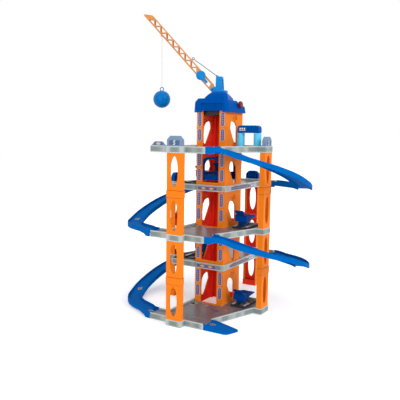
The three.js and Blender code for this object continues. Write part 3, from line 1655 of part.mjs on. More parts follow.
// Car wash: a base with two posts, sleeves that turn on them, and a lintel
function carWash() {
  const all = new THREE.Group();
  const road = roadHeight(DECK_COUNT);
  const rollerFoot = WASH_BASE + FIT;
  const lintelFoot = rollerFoot + WASH_ROLLER_HEIGHT + FIT;
  const half = WASH_SPACING / 2;
  const base = [block(-WASH_LINTEL / 2, WASH_LINTEL / 2, -WASH_BASE_Y, WASH_BASE_Y, 0, WASH_BASE)];
  for (const x of [-half, half]) base.push(barZ(
    x,
    0,
    WASH_POST,
    0,
    lintelFoot + WASH_LINTEL_HEIGHT / 2,
    PIN_SIDES,
  ));
  const face = outline([
    [-WASH_LINTEL / 2, lintelFoot, WASH_CORNER],
    [WASH_LINTEL / 2, lintelFoot, WASH_CORNER],
    [WASH_LINTEL / 2, lintelFoot + WASH_LINTEL_HEIGHT, WASH_LINTEL_HEIGHT / 2],
    [-WASH_LINTEL / 2, lintelFoot + WASH_LINTEL_HEIGHT, WASH_LINTEL_HEIGHT / 2],
  ]);
  const lintel = cut(
    prismAlongY(face, -WASH_DEPTH / 2, WASH_DEPTH / 2),
    [-half, half].map((x) => barZ(
      x,
      0,
      WASH_POST + FIT,
      lintelFoot - OVERRUN,
      lintelFoot + WASH_LINTEL_HEIGHT / 2 + FIT,
      PIN_SIDES,
    )),
  );
  all.add(piece("wash_base", join(base), DARK_BLUE));
  all.add(piece("wash_lintel", lintel, DARK_BLUE));
  [-half, half].forEach((x, i) => {
    const sleeve = cut(
      barZ(0, 0, WASH_ROLLER, rollerFoot, rollerFoot + WASH_ROLLER_HEIGHT, DISC_SIDES),
      barZ(0, 0, WASH_POST + FIT, 0, lintelFoot, PIN_SIDES),
    );
    const roller = piece(i ? "right_wash_roller" : "left_wash_roller", sleeve, CYAN);
    roller.position.x = x;
    all.add(roller);
  });
  all.position.set(WASH_X, WASH_Y, road);
  return all;
}

// Car jack: a base with two wheel tracks and lugs, and a rocking platform with an upright back
function jackBase() {
  const halfX = JACK_WIDE / 2;
  const halfY = JACK_LONG / 2;
  const parts = [prism(outline(rectangle(halfX, halfY, JACK_LUG)), 0, JACK_BASE)];
  for (const x of [-1, 1]) {
    parts.push(sideBlock(
      x,
      halfX - JACK_TRACK,
      halfX,
      -halfY + JACK_LUG,
      halfY - JACK_LUG,
      0,
      JACK_BASE + JACK_TRACK_RISE,
    ));
    const lug = new THREE.Shape();
    lug.moveTo(-JACK_PIVOT_Y - JACK_LUG * 1.6, 0);
    lug.lineTo(-JACK_PIVOT_Y + JACK_LUG * 1.6, 0);
    lug.lineTo(-JACK_PIVOT_Y + JACK_LUG, JACK_PIVOT_RISE);
    lug.absarc(-JACK_PIVOT_Y, JACK_PIVOT_RISE, JACK_LUG, 0, Math.PI, false);
    lug.closePath();
    const inner = JACK_ARM / 2 + FIT;
    const x0 = x > 0 ? inner : -inner - JACK_LUG_THICK;
    parts.push(prismAlongX(lug, x0, x0 + JACK_LUG_THICK));
  }
  return cut(
    join(parts),
    barX(-JACK_PIVOT_Y, JACK_PIVOT_RISE, JACK_PIN + FIT, -halfX - OVERRUN, halfX + OVERRUN, PIN_SIDES),
    block(
      JACK_TRACK - halfX + JACK_LUG,
      halfX - JACK_TRACK - JACK_LUG,
      -halfY / 2,
      halfY / 2,
      -OVERRUN,
      JACK_BASE + OVERRUN,
    ),
  );
}

function jackPlatform() {
  const half = JACK_WIDTH / 2;
  const path = (corners) => {
    const shape = new THREE.Shape();
    corners.forEach(([y, z], i) => (i ? shape.lineTo(y, z) : shape.moveTo(y, z)));
    shape.closePath();
    return shape;
  };
  const front = -JACK_FRONT;
  const wedge = path([
    [front, JACK_FRONT_FOOT],
    [JACK_LUG, JACK_FRONT_FOOT],
    [JACK_BELLY, JACK_BELLY_RISE],
    [JACK_TIP, JACK_TIP_RISE],
    [JACK_TIP, JACK_TIP_RISE + JACK_SKIN],
    [front + JACK_LUG, JACK_DECK_RISE],
    [front, JACK_DECK_RISE],
  ]);
  const under = path([
    [front + JACK_SKIN, -OVERRUN],
    [JACK_TIP - JACK_SKIN, -OVERRUN],
    [JACK_TIP - JACK_SKIN, JACK_TIP_RISE],
    [front + JACK_LUG, JACK_DECK_RISE - JACK_SKIN],
    [front + JACK_SKIN, JACK_DECK_RISE - JACK_SKIN],
  ]);
  const body = cut(
    prismAlongX(wedge, -half, half),
    prismAlongX(under, JACK_SKIN - half, half - JACK_SKIN),
  );
  const leg = new THREE.Shape();
  leg.moveTo(JACK_SKIN + front, JACK_DECK_RISE - JACK_SKIN / 2);
  leg.lineTo(FIT - JACK_LUG, 0);
  leg.absarc(0, 0, JACK_LUG - FIT, Math.PI, Math.PI * 2, false);
  leg.lineTo(-front, JACK_DECK_RISE - JACK_SKIN * 1.5);
  leg.closePath();
  const ribs = [];
  const step = (JACK_TIP - JACK_LUG) / JACK_RIBS;
  const fall = (JACK_DECK_RISE - JACK_TIP_RISE - JACK_SKIN) / (JACK_TIP - JACK_LUG - front);
  for (let i = 1; i < JACK_RIBS; i++) {
    const y = i * step;
    const z = JACK_DECK_RISE - fall * (y - front - JACK_LUG);
    ribs.push(block(-half, half, y, y + JACK_SKIN, z - JACK_SKIN, z + JACK_RIB_RISE));
  }
  const upright = path([
    [front, JACK_DECK_RISE - JACK_SKIN],
    [front - JACK_LEAN, JACK_BACK],
    [front - JACK_LEAN + JACK_HEAD_THICK, JACK_BACK],
    [front + JACK_LUG, JACK_DECK_RISE - JACK_SKIN],
  ]);
  const head = outline([
    [-half, 0, 0],
    [half, 0, 0],
    [half, JACK_DECK_RISE, 0],
    [JACK_NECK, JACK_NECK_RISE, JACK_SKIN],
    [JACK_WING, JACK_WING_RISE, JACK_SKIN],
    [JACK_NECK, JACK_BACK, JACK_LUG],
    [0, JACK_BACK - JACK_DIP, JACK_LUG],
    [-JACK_NECK, JACK_BACK, JACK_LUG],
    [-JACK_WING, JACK_WING_RISE, JACK_SKIN],
    [-JACK_NECK, JACK_NECK_RISE, JACK_SKIN],
    [-half, JACK_DECK_RISE, 0],
  ]);
  return join(
    body,
    prismAlongX(leg, -JACK_ARM / 2, JACK_ARM / 2),
    ribs,
    prismAlongX(upright, -half, half).intersect(prismAlongY(
      head,
      front - JACK_LEAN - OVERRUN,
      OVERRUN,
    )),
    barX(0, 0, JACK_PIN, -JACK_ARM / 2 - JACK_LUG_THICK, JACK_ARM / 2 + JACK_LUG_THICK, PIN_SIDES),
  );
}

function jacks() {
  const all = new THREE.Group();
  for (let level = 1; level < DECK_COUNT; level++) {
    const set = new THREE.Group();
    const base = piece(`jack_base_${level}`, jackBase(), DARK);
    const platform = piece(`jack_platform_${level}`, jackPlatform(), BLUE);
    const side = isOdd(level) ? 1 : -1;
    const y = isOdd(level) ? JACK_Y : JACK_REAR_Y;
    base.position.set(side * JACK_X, y, 0);
    if (!isOdd(level)) base.rotation.z = Math.PI;
    platform.position.set(side * JACK_X, y - side * JACK_PIVOT_Y, JACK_PIVOT_RISE);
    set.add(base, platform);
    set.position.z = roadHeight(level);
    all.add(set);
  }
  return all;
}

// The small sign clipped on the top deck's front rim
function rimSign() {
  const rim = rimHeight(DECK_COUNT);
  const shape = outline([
    [-SIGN_FOOT / 2, 0, 0],
    [SIGN_FOOT / 2, 0, 0],
    [SIGN_HEAD / 2, SIGN_HEIGHT, SIGN_CORNER],
    [-SIGN_HEAD / 2, SIGN_HEIGHT, SIGN_CORNER],
  ]);
  const plate = prismAlongY(shape, 0, SIGN_THICK);
  const tongue = block(
    -SIGN_HEAD / 2,
    SIGN_HEAD / 2,
    RIM_WALL + FIT,
    SIGN_THICK + OVERRUN,
    -SIGN_TONGUE,
    SIGN_TONGUE,
  );
  return join(plate, tongue).translate([-SIGN_OFFSET, -LANE_FRONT, rim]);
}

const garage = new THREE.Group();
garage.name = "toy_parking_garage";
garage.add(decks(), tower(), columns(), ramps(), lift(), crane(), carWash(), jacks());
garage.add(piece("roof_cover", roof(), BLUE));
garage.add(piece("rim_sign", rimSign(), SIGN_BLUE));

export default garage;
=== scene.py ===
"""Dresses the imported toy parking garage: moulded plastics, printed labels, the ball's string and a studio."""

import math
from itertools import product

import bpy
import numpy as np
from mathutils import Matrix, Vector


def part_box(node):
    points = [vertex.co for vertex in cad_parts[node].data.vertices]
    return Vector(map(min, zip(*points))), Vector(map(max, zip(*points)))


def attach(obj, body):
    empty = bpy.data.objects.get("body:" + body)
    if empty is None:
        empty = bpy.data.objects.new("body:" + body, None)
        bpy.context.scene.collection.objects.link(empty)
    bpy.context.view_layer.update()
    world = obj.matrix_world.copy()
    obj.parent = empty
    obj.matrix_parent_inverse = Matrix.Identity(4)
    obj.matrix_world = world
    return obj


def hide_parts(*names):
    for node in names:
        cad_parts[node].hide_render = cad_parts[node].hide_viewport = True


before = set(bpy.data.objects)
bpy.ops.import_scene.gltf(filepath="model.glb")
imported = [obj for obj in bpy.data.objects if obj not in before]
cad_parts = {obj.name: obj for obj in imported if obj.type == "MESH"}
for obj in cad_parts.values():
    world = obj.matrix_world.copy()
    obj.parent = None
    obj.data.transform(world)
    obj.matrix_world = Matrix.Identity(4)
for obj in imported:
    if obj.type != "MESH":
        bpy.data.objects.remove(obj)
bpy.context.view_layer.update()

bl_info = {
    "name": "Toy Garage Dressing",
    "version": (1, 0, 0),
    "blender": (4, 5, 0),
    "location": "View3D > Sidebar > Garage",
    "description": "Plastics, labels, string and studio for a toy parking garage",
    "category": "Object",
}

# The three axes: x to the right column, y to the back one, z up
RIGHT, BACK, UP = np.eye(3)
FRONT = -BACK

# Places that follow the solids, in metres
STOREY = 0.105  # from deck to deck
BAND = 0.016  # height of a deck's edge
ROAD_DROP = 0.005  # from a deck's rim down to its road
LEVELS = 5
RIM = 0.0024  # width of a deck's rim
LANE_FRONT = 0.2106  # the lane's two edges, from the tower's axis
LANE_BACK = 0.166
LANE_MIDDLE = -(LANE_FRONT + LANE_BACK) / 2
LANE_X = 0.003  # middle of the lane's length
TOWER_Y = 0.0466  # front and back faces of the tower's posts
POST_X = 0.0345  # middle lines of the posts
TRACK_TOP = 0.0054  # a jack's wheel tracks, above the road
TRACK_SIDE = 0.0165  # and to each side of its middle
# The road round the tower on an odd deck, as an outline and a hole in plan
PLAZA = (
    (-0.0445, -0.1655),
    (0.0796, -0.1655),
    (0.1244, -0.0290),
    (0.1244, 0.016),
    (0.1193, 0.0495),
    (-0.0445, 0.0495),
)
TOWER_HOLE = ((-0.0442, -0.0600), (0.0460, -0.0600), (0.0460, 0.0485), (-0.0442, 0.0485))

# Prints, in metres
INK = 0.00018  # thickness of a label
SHEET_HALF = 0.0765  # half length of the lane's sheet
SHEET_CORNER = 0.003
SHEET_RAYS = 240
DASHES = np.arange(-0.062, 0.075, 0.022)  # places of the lane's dashes
POST_LABELS = ((0.0665, 0.0185), (0.0262, 0.0165))  # height above the rim, half length
POST_BARS = 5
EDGE_DROP = 0.0088  # from a deck's rim down to the middle of its edge labels
SEAM_SHADE = 0.0006  # half height of the painted shade line at a column's joint
PEG_DROP = 0.025  # from a deck's rim down to a peg
SCREW_AXIS = np.array([0.80, -0.60, 0.0])  # the ball's two screws lie on it

# The badges' ramps, places and headings in degrees
BADGES = (
    ("left_ramp_4_to_3", -0.2164, -0.0790, 70),
    ("left_ramp_4_to_3", -0.2164, 0.0790, 110),
    ("left_ramp_2_to_1", -0.2198, -0.0615, 75),
    ("left_ramp_2_to_1", -0.0887, -0.1860, 0),
    ("right_ramp_3_to_2", 0.1010, -0.1830, 0),
    ("right_ramp_3_to_2", 0.2164, 0.0790, 70),
    ("right_ramp_5_to_4", 0.1010, -0.1830, 0),
    ("right_ramp_5_to_4", 0.2164, -0.0790, 110),
    ("exit_ramp", 0.0955, -0.1875, 0),
)

# The string's mesh
STRING_RINGS = 24
STRING_SIDES = 12

# The studio: angles in degrees, lens and sensor in millimetres
CAMERA_PLACE = (0.74496, -1.31138, 0.46938)
CAMERA_YAW, CAMERA_PITCH, CAMERA_ROLL = 31.52, 6.93, 0.783
CAMERA_LENS, CAMERA_SENSOR = 50.303, 36
CAMERA_REACH = 40  # how far it sees, in metres
FLOOR_REACH = 6.0
FLOOR_LIFT = 0.3  # glow that only the camera sees
SEEN_WORLD, ROOM_WORLD = 1.0, 0.68  # the white that is seen, and the white that lights
LAMPS = (
    # name, way to the lamp, strength, width of its disc
    ("key", (1.0, -0.22, 0.50), 1.45, 30),
    ("top", (-0.15, 0.1, 1.0), 0.3, 60),
    ("fill", (0.12, -1.0, 0.30), 0.9, 50),
)


def colour_setting(name, description, rgb):
    """A colour property that holds linear red, green and blue."""
    return bpy.props.FloatVectorProperty(
        name=name,
        description=description,
        subtype="COLOR",
        size=3,
        min=0,
        max=1,
        default=rgb,
    )


def size_setting(name, description, metres):
    """A length property in metres."""
    return bpy.props.FloatProperty(
        name=name,
        description=description,
        subtype="DISTANCE",
        unit="LENGTH",
        min=0,
        default=metres,
    )


class GarageColours(bpy.types.PropertyGroup):
    orange: colour_setting("Orange", "Columns and tower, outside", (0.90, 0.215, 0.014))
    # Painted shade: the orange turned deep red where it faces the tower's axis, for the shade and bounced light
    # inside the tower
    inner: colour_setting("Inner painted shade", "Orange plastic that faces the tower's axis", (1.0, 0.045, 0.022))
    boom: colour_setting("Boom orange", "The crane's lattice boom", (0.62, 0.245, 0.06))
    ramp: colour_setting("Ramp blue", "Ramps", (0.0, 0.120, 0.44))
    roof: colour_setting("Roof blue", "Roof cover, car wash lintel and rear caps", (0.0, 0.075, 0.36))
    crane: colour_setting("Crane blue", "Turntable, mast and winch", (0.0, 0.22, 0.58))
    ball: colour_setting("Ball blue", "The crane's ball", (0.0, 0.140, 0.44))
    deep: colour_setting("Deep blue", "Lift cabin and jacks", (0.0, 0.05, 0.27))
    cyan: colour_setting("Cyan", "Car wash rollers", (0.11, 0.60, 0.90))
    grey: colour_setting("Grey", "Decks", (0.20, 0.25, 0.24))
    slate: colour_setting("Slate", "Signs", (0.17, 0.26, 0.40))
    road: colour_setting("Road", "Printed road sheets", (0.13, 0.115, 0.125))
    dark: colour_setting("Dark", "Hoist and jack bases", (0.028, 0.03, 0.036))
    knob: colour_setting("Knob red", "The lift's knob", (0.17, 0.010, 0.018))
    wire: colour_setting("Wire", "The boom's stay", (0.015, 0.06, 0.14))
    string: colour_setting("String", "The ball's string", (0.42, 0.45, 0.48))
    white: colour_setting("White", "White print", (0.82, 0.84, 0.86))
    gold: colour_setting("Gold", "Gold print", (0.80, 0.36, 0.06))
    violet: colour_setting("Violet", "Dark print on labels", (0.085, 0.07, 0.20))
    green: colour_setting("Green", "Green print", (0.10, 0.30, 0.07))
    pink: colour_setting("Pink", "Pink print", (0.62, 0.16, 0.22))
    silver: colour_setting("Silver", "Wheel pads on the jacks", (0.50, 0.50, 0.54))
    faded: colour_setting("Faded white", "Lines on the road", (0.30, 0.29, 0.31))
    plate: colour_setting("Plate green", "Pale patch on the road", (0.27, 0.33, 0.28))
    brass: colour_setting("Brass", "Badges' rims and the round patch", (0.42, 0.27, 0.12))
    dusk: colour_setting("Dusk", "Darkest print", (0.10, 0.07, 0.13))
    border: colour_setting("Border", "Borders of the labels", (0.47, 0.40, 0.46))
    lilac: colour_setting("Lilac", "Bars on the post labels", (0.34, 0.27, 0.36))
    field: colour_setting("Field", "Fields of the signs", (0.055, 0.095, 0.20))
    figure: colour_setting("Figure", "Numbers on the signs", (0.90, 0.94, 0.97))
    sand: colour_setting("Sand", "Oval on the rim's sign", (0.50, 0.40, 0.36))
    # Painted shade: dark lines at the columns' joints; the snap pegs share this colour
    seam_shade_and_pegs: colour_setting("Seam shade and pegs", "Seams and pegs of the columns", (0.42, 0.05, 0.008))


class GarageSizes(bpy.types.PropertyGroup):
    label_width: size_setting("Label width", "Width of the labels on the tower's posts", 0.0125)
    line_width: size_setting("Line width", "Width of the painted lines", 0.0016)
    badge: size_setting("Badge", "Width of the badges on the ramps", 0.018)
    digit: size_setting("Digit", "Height of the numbers on the signs", 0.0100)
    peg: size_setting("Peg radius", "Radius of the snap pegs on the columns", 0.0016)
    string_twist: size_setting("String twist", "Length of one turn of the string's strands", 0.0021)


def colours():
    return bpy.context.scene.garage_colours


def sizes():
    return bpy.context.scene.garage_sizes


def rim_height(level):
    """Height of a deck's rim over the floor."""
    return BAND + (level - 1) * STOREY


def road_height(level):
    """Height of a deck's road over the floor."""
    return rim_height(level) - ROAD_DROP


def corners_of(name):
    """A solid's lowest and highest corners, as arrays."""
    return [np.array(corner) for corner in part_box(name)]


# Shader groups that several plastics share

PLAIN = (0.5, 0.5, 0.5, 1)


def new_group(name, inputs, outputs):
    """An empty shader group with named sockets, and its two ends."""
    group = bpy.data.node_groups.new(name, "ShaderNodeTree")
    for label, kind, value in inputs:
        socket = group.interface.new_socket(name=label, in_out="INPUT", socket_type=kind)
        socket.default_value = value
    for label, kind in outputs:
        group.interface.new_socket(name=label, in_out="OUTPUT", socket_type=kind)
    return group, group.nodes.new("NodeGroupInput"), group.nodes.new("NodeGroupOutput")


def add(tree, kind, **settings):
    """A node with its properties set."""
    node = tree.nodes.new(kind)
    for key, value in settings.items():
        setattr(node, key, value)
    return node


def feed(tree, socket, value):
    """Links a socket to an input, or sets the input to a value."""
    if isinstance(value, bpy.types.NodeSocket):
        tree.links.new(value, socket)
    else:
        socket.default_value = value


def object_place(tree):
    """The place on the piece, which the patterns read."""
    return add(tree, "ShaderNodeTexCoord").outputs["Object"]


def math_node(tree, operation, first, second=0.0, clamp=False):
    """A maths node whose inputs are sockets or numbers; returns its output."""
    node = add(tree, "ShaderNodeMath", operation=operation, use_clamp=clamp)
    feed(tree, node.inputs[0], first)
    feed(tree, node.inputs[1], second)
    return node.outputs[0]


def noise(tree, vector, scale, detail=2.0, roughness=0.5):
    """A noise texture's factor over a vector."""
    node = add(tree, "ShaderNodeTexNoise")
    feed(tree, node.inputs["Vector"], vector)
    feed(tree, node.inputs["Scale"], scale)
    feed(tree, node.inputs["Detail"], detail)
    feed(tree, node.inputs["Roughness"], roughness)
    return node.outputs["Fac"]


def blend_colours(tree, share, first, second):
    """A colour mix; each colour is a socket or a value."""
    node = add(tree, "ShaderNodeMix", data_type="RGBA")
    for index, value in ((0, share), (6, first), (7, second)):
        feed(tree, node.inputs[index], value)
    return node.outputs[2]


def ramp_between(tree, value, low, high):
    """0 below low, 1 above high, smooth between."""
    node = add(tree, "ShaderNodeMapRange", interpolation_type="SMOOTHSTEP")
    feed(tree, node.inputs["Value"], value)
    feed(tree, node.inputs["From Min"], low)
    feed(tree, node.inputs["From Max"], high)
    return node.outputs["Result"]


def moulding_group():
    """Moulded plastic: slow clouds in the colour, fine grain in the height, and glossier rubbed spots."""
    group, start, end = new_group(
        "Moulding",
        [
            ("Colour", "NodeSocketColor", PLAIN),
            ("Clouds", "NodeSocketFloat", 0.08),
            ("Grain Scale", "NodeSocketFloat", 900.0),
            ("Roughness", "NodeSocketFloat", 0.4),
        ],
        [("Colour", "NodeSocketColor"), ("Roughness", "NodeSocketFloat"), ("Height", "NodeSocketFloat")],
    )
    place = object_place(group)
    clouds = noise(group, place, scale=22.0, detail=3.0)
    specks = noise(group, place, scale=160.0)
    grain = noise(group, place, scale=start.outputs["Grain Scale"], detail=1.0)
    around = math_node(group, "SUBTRACT", clouds, 0.5)
    swing = math_node(group, "MULTIPLY", around, start.outputs["Clouds"])
    level = math_node(group, "ADD", math_node(group, "MULTIPLY", swing, 2.0), 1.0)
    tinted = add(group, "ShaderNodeVectorMath", operation="SCALE")
    feed(group, tinted.inputs[0], start.outputs["Colour"])
    feed(group, tinted.inputs["Scale"], level)
    rubbed = math_node(group, "MULTIPLY", ramp_between(group, specks, 0.58, 0.7), 0.08)
    rough = math_node(group, "SUBTRACT", start.outputs["Roughness"], rubbed)
    rough = math_node(group, "ADD", rough, math_node(group, "MULTIPLY", swing, 0.5))
    feed(group, end.inputs["Colour"], tinted.outputs[0])
    feed(group, end.inputs["Roughness"], rough)
    feed(group, end.inputs["Height"], grain)


def inward_group():
    """1 where a wall faces the tower's axis, 0 where it faces out or sideways: the cosine, in plan, between the
    normal and the way to the axis, stretched between two limits. It marks where the orange gets its painted
    inner shade."""
    group, start, end = new_group(
        "Inward Faces",
        [("From", "NodeSocketFloat", 0.25), ("To", "NodeSocketFloat", 0.6)],
        [("Share", "NodeSocketFloat")],
    )
    flat = add(group, "ShaderNodeVectorMath", operation="MULTIPLY")
    feed(group, flat.inputs[0], object_place(group))
    feed(group, flat.inputs[1], (-1, -1, 0))
    inwards = add(group, "ShaderNodeVectorMath", operation="NORMALIZE")
    feed(group, inwards.inputs[0], flat.outputs[0])
    facing = add(group, "ShaderNodeVectorMath", operation="DOT_PRODUCT")
    feed(group, facing.inputs[0], inwards.outputs[0])
    feed(group, facing.inputs[1], add(group, "ShaderNodeNewGeometry").outputs["Normal"])
    share = ramp_between(group, facing.outputs["Value"], start.outputs["From"], start.outputs["To"])
    feed(group, end.inputs["Share"], share)


def rim_highlight_group():
    """Painted highlights: pale lines along the top and bottom edges of every deck, where the height, wrapped at
    each storey, is close to an edge, and upright glints between them, from a noise that doesn't change with
    height."""
    group, start, end = new_group(
        "Painted Rim Highlights",
        [("Colour", "NodeSocketColor", PLAIN), ("Amount", "NodeSocketFloat", 0.5)],
        [("Colour", "NodeSocketColor")],
    )
    parts = add(group, "ShaderNodeSeparateXYZ")
    feed(group, parts.inputs[0], object_place(group))
    shares = []
    for edge_height in (BAND, 0.0):
        above = math_node(group, "SUBTRACT", parts.outputs["Z"], edge_height)
        near = math_node(group, "PINGPONG", above, STOREY / 2)
        away = ramp_between(group, math_node(group, "DIVIDE", near, STOREY), 0.016, 0.028)
        shares.append(math_node(group, "SUBTRACT", 1.0, away))
    edge = math_node(group, "MAXIMUM", shares[0], shares[1])
    flat = add(group, "ShaderNodeCombineXYZ")
    feed(group, flat.inputs["X"], parts.outputs["X"])
    feed(group, flat.inputs["Y"], parts.outputs["Y"])
    glints = ramp_between(group, noise(group, flat.outputs[0], scale=26.0, detail=1.0), 0.46, 0.70)
    bright = math_node(group, "MAXIMUM", edge, glints)
    share = math_node(group, "MULTIPLY", bright, start.outputs["Amount"])
    # Painted highlight: the edges and glints turn a pale grey
    pale = blend_colours(group, share, start.outputs["Colour"], (0.66, 0.70, 0.69, 1))
    feed(group, end.inputs["Colour"], pale)


def dust_group():
    """A thin pale film on faces that look up, broken by noise."""
    group, start, end = new_group(
        "Settled Dust",
        [("Colour", "NodeSocketColor", PLAIN), ("Amount", "NodeSocketFloat", 0.06)],
        [("Colour", "NodeSocketColor")],
    )
    place = object_place(group)
    parts = add(group, "ShaderNodeSeparateXYZ")
    feed(group, parts.inputs[0], add(group, "ShaderNodeNewGeometry").outputs["Normal"])
    up = ramp_between(group, parts.outputs["Z"], 0.5, 1.0)
    film = math_node(group, "MULTIPLY", up, noise(group, place, scale=60.0, detail=4.0, roughness=0.7))
    share = math_node(group, "MULTIPLY", film, start.outputs["Amount"], clamp=True)
    mixed = blend_colours(group, share, start.outputs["Colour"], (0.75, 0.74, 0.72, 1))
    feed(group, end.inputs["Colour"], mixed)


def use_group(tree, name, **values):
    """Places a shared group in a material; each value is a socket or a constant."""
    node = add(tree, "ShaderNodeGroup", node_tree=bpy.data.node_groups[name])
    for label, value in values.items():
        feed(tree, node.inputs[label], value)
    return node


def opaque(rgb, gain=1.0, lift=0.0):
    """A colour with full alpha, made lighter or darker within 1."""
    return (*(min(1.0, part * gain + lift) for part in rgb), 1.0)


def new_material(name):
    """A material with an empty tree, its shader and its output."""
    material = bpy.data.materials.new(name)
    material.use_nodes = True
    tree = material.node_tree
    tree.nodes.clear()
    shader = tree.nodes.new("ShaderNodeBsdfPrincipled")
    tree.links.new(shader.outputs[0], tree.nodes.new("ShaderNodeOutputMaterial").inputs[0])
    return material, tree, shader


def finish_with_bump(tree, shader, height, strength, distance):
    """Gives a shader fine relief from a height."""
    bump = tree.nodes.new("ShaderNodeBump")
    feed(tree, bump.inputs["Strength"], strength)
    feed(tree, bump.inputs["Distance"], distance)
    feed(tree, bump.inputs["Height"], height)
    feed(tree, shader.inputs["Normal"], bump.outputs[0])


def plastic(name, rgb, roughness=0.38, inner=None, rims=0.0, gloss=0.25, coat=0.0, sheen=(1, 1, 1)):
    """Moulded plastic: sheen tints its gloss, inner is a painted shade, a deeper colour where it looks at the
    tower's axis, and rims is the amount of painted highlight on a deck's edges: pale lines along them and
    upright glints."""
    material, tree, shader = new_material(name)
    base = opaque(rgb)
    # Painted shade: the inner colour where the face looks at the tower's axis
    if inner is not None:
        share = use_group(tree, "Inward Faces").outputs["Share"]
        base = blend_colours(tree, share, base, opaque(inner))
    # Painted highlight: pale lines and glints on a deck's edges
    if rims:
        base = use_group(tree, "Painted Rim Highlights", Colour=base, Amount=rims).outputs["Colour"]
    moulded = use_group(tree, "Moulding", Colour=base, Clouds=0.05, Roughness=roughness)
    dusty = use_group(tree, "Settled Dust", Colour=moulded.outputs["Colour"], Amount=0.01)
    feed(tree, shader.inputs["Base Color"], dusty.outputs["Colour"])
    feed(tree, shader.inputs["Roughness"], moulded.outputs["Roughness"])
    feed(tree, shader.inputs["Specular IOR Level"], gloss)
    feed(tree, shader.inputs["Specular Tint"], opaque(sheen))
    feed(tree, shader.inputs["Coat Weight"], coat)
    feed(tree, shader.inputs["Coat Roughness"], 0.12)
    finish_with_bump(tree, shader, moulded.outputs["Height"], strength=0.12, distance=0.0001)
    return material


def print_ink(name, rgb):
    """Ink on a paper label: flat colour with a fine halftone and worn, darker clouds."""
    material, tree, shader = new_material(name)
    place = object_place(tree)
    dots = add(tree, "ShaderNodeTexVoronoi")
    feed(tree, dots.inputs["Scale"], 1500.0)
    feed(tree, dots.inputs["Vector"], place)
    halftone = ramp_between(tree, dots.outputs["Distance"], 0.25, 0.7)
    dotted = blend_colours(tree, halftone, opaque(rgb), opaque(rgb, gain=1.12, lift=0.01))
    worn = noise(tree, place, scale=70.0, detail=4.0, roughness=0.65)
    colour = blend_colours(tree, ramp_between(tree, worn, 0.55, 0.8), dotted, opaque(rgb, gain=0.85))
    feed(tree, shader.inputs["Base Color"], colour)
    feed(tree, shader.inputs["Roughness"], 0.45)
    finish_with_bump(tree, shader, worn, strength=0.1, distance=0.0001)
    return material


def asphalt(name, rgb):
    """A printed road: speckled tar with warm clouds and paler ones."""
    material, tree, shader = new_material(name)
    place = object_place(tree)
    specks = noise(tree, place, scale=1400.0, roughness=0.6)
    clouds = noise(tree, place, scale=26.0, detail=4.0, roughness=0.6)
    warmth = ramp_between(tree, noise(tree, place, scale=9.0), 0.5, 0.72)
    speckled = ramp_between(tree, specks, 0.35, 0.7)
    tar = blend_colours(tree, speckled, opaque(rgb, gain=0.7), opaque(rgb, gain=1.5))
    cloudy = blend_colours(tree, math_node(tree, "MULTIPLY", clouds, 0.5), tar, (0.24, 0.21, 0.20, 1))
    warm = blend_colours(tree, math_node(tree, "MULTIPLY", warmth, 0.35), cloudy, (0.30, 0.13, 0.11, 1))
    feed(tree, shader.inputs["Base Color"], warm)
    feed(tree, shader.inputs["Roughness"], 0.28)
    finish_with_bump(tree, shader, specks, strength=0.1, distance=0.00005)
    return material


def wire_metal(name, rgb):
    """Painted steel wire: satin, with faint scratches."""
    material, tree, shader = new_material(name)
    scratches = noise(tree, object_place(tree), scale=700.0, detail=3.0, roughness=0.7)
    bare = ramp_between(tree, scratches, 0.6, 0.8)
    feed(tree, shader.inputs["Base Color"], blend_colours(tree, bare, opaque(rgb), (0.10, 0.16, 0.24, 1)))
    feed(tree, shader.inputs["Metallic"], 0.2)
    feed(tree, shader.inputs["Roughness"], 0.35)
    finish_with_bump(tree, shader, scratches, strength=0.1, distance=0.00005)
    return material


def twisted_cotton(name, rgb, turn):
    """String: bands that climb as they go across look like strands, and a fuzz of noise breaks them."""
    material, tree, shader = new_material(name)
    place = object_place(tree)
    parts = add(tree, "ShaderNodeSeparateXYZ")
    feed(tree, parts.inputs[0], place)
    climb = math_node(tree, "MULTIPLY", parts.outputs["Z"], 2 * math.pi / turn)
    across = math_node(tree, "MULTIPLY", parts.outputs["X"], 5200.0)
    strands = math_node(tree, "SINE", math_node(tree, "ADD", climb, across))
    fuzz = noise(tree, place, scale=2500.0, detail=3.0, roughness=0.7)
    shade = ramp_between(tree, strands, -1.0, 0.4)
    feed(tree, shader.inputs["Base Color"], blend_colours(tree, shade, opaque(rgb, gain=0.85), opaque(rgb)))
    feed(tree, shader.inputs["Roughness"], 0.9)
    finish_with_bump(tree, shader, math_node(tree, "ADD", strands, fuzz), strength=0.5, distance=0.0002)
    return material


# Meshes from arrays


def slab(corners, origin, along, up, thick):
    """A flat plate: corners (n, 2) counter-clockwise, placed at origin + a*along + b*up, and raised by thick
    along the cross product of along and up. The back loop, the front loop, and n side faces close it."""
    corners = np.asarray(corners, float)
    origin, along, up = (np.asarray(v, float) for v in (origin, along, up))
    normal = np.cross(along, up)
    back = origin + corners[:, :1] * along + corners[:, 1:] * up
    points = np.vstack([back, back + thick * normal])
    count = len(corners)
    here = np.arange(count)
    after = np.roll(here, -1)
    sides = np.stack([here, after, after + count, here + count], 1).tolist()
    faces = [list(range(count - 1, -1, -1)), list(range(count, 2 * count))] + sides
    return points, faces


def disc(radius, count=24, squeeze=1.0):
    """Corners of a circle, or of a lozenge where count is 4, whose height is its width times squeeze."""
    turn = np.arange(count) * 2 * math.pi / count
    return np.stack([radius * np.cos(turn), squeeze * radius * np.sin(turn)], 1)


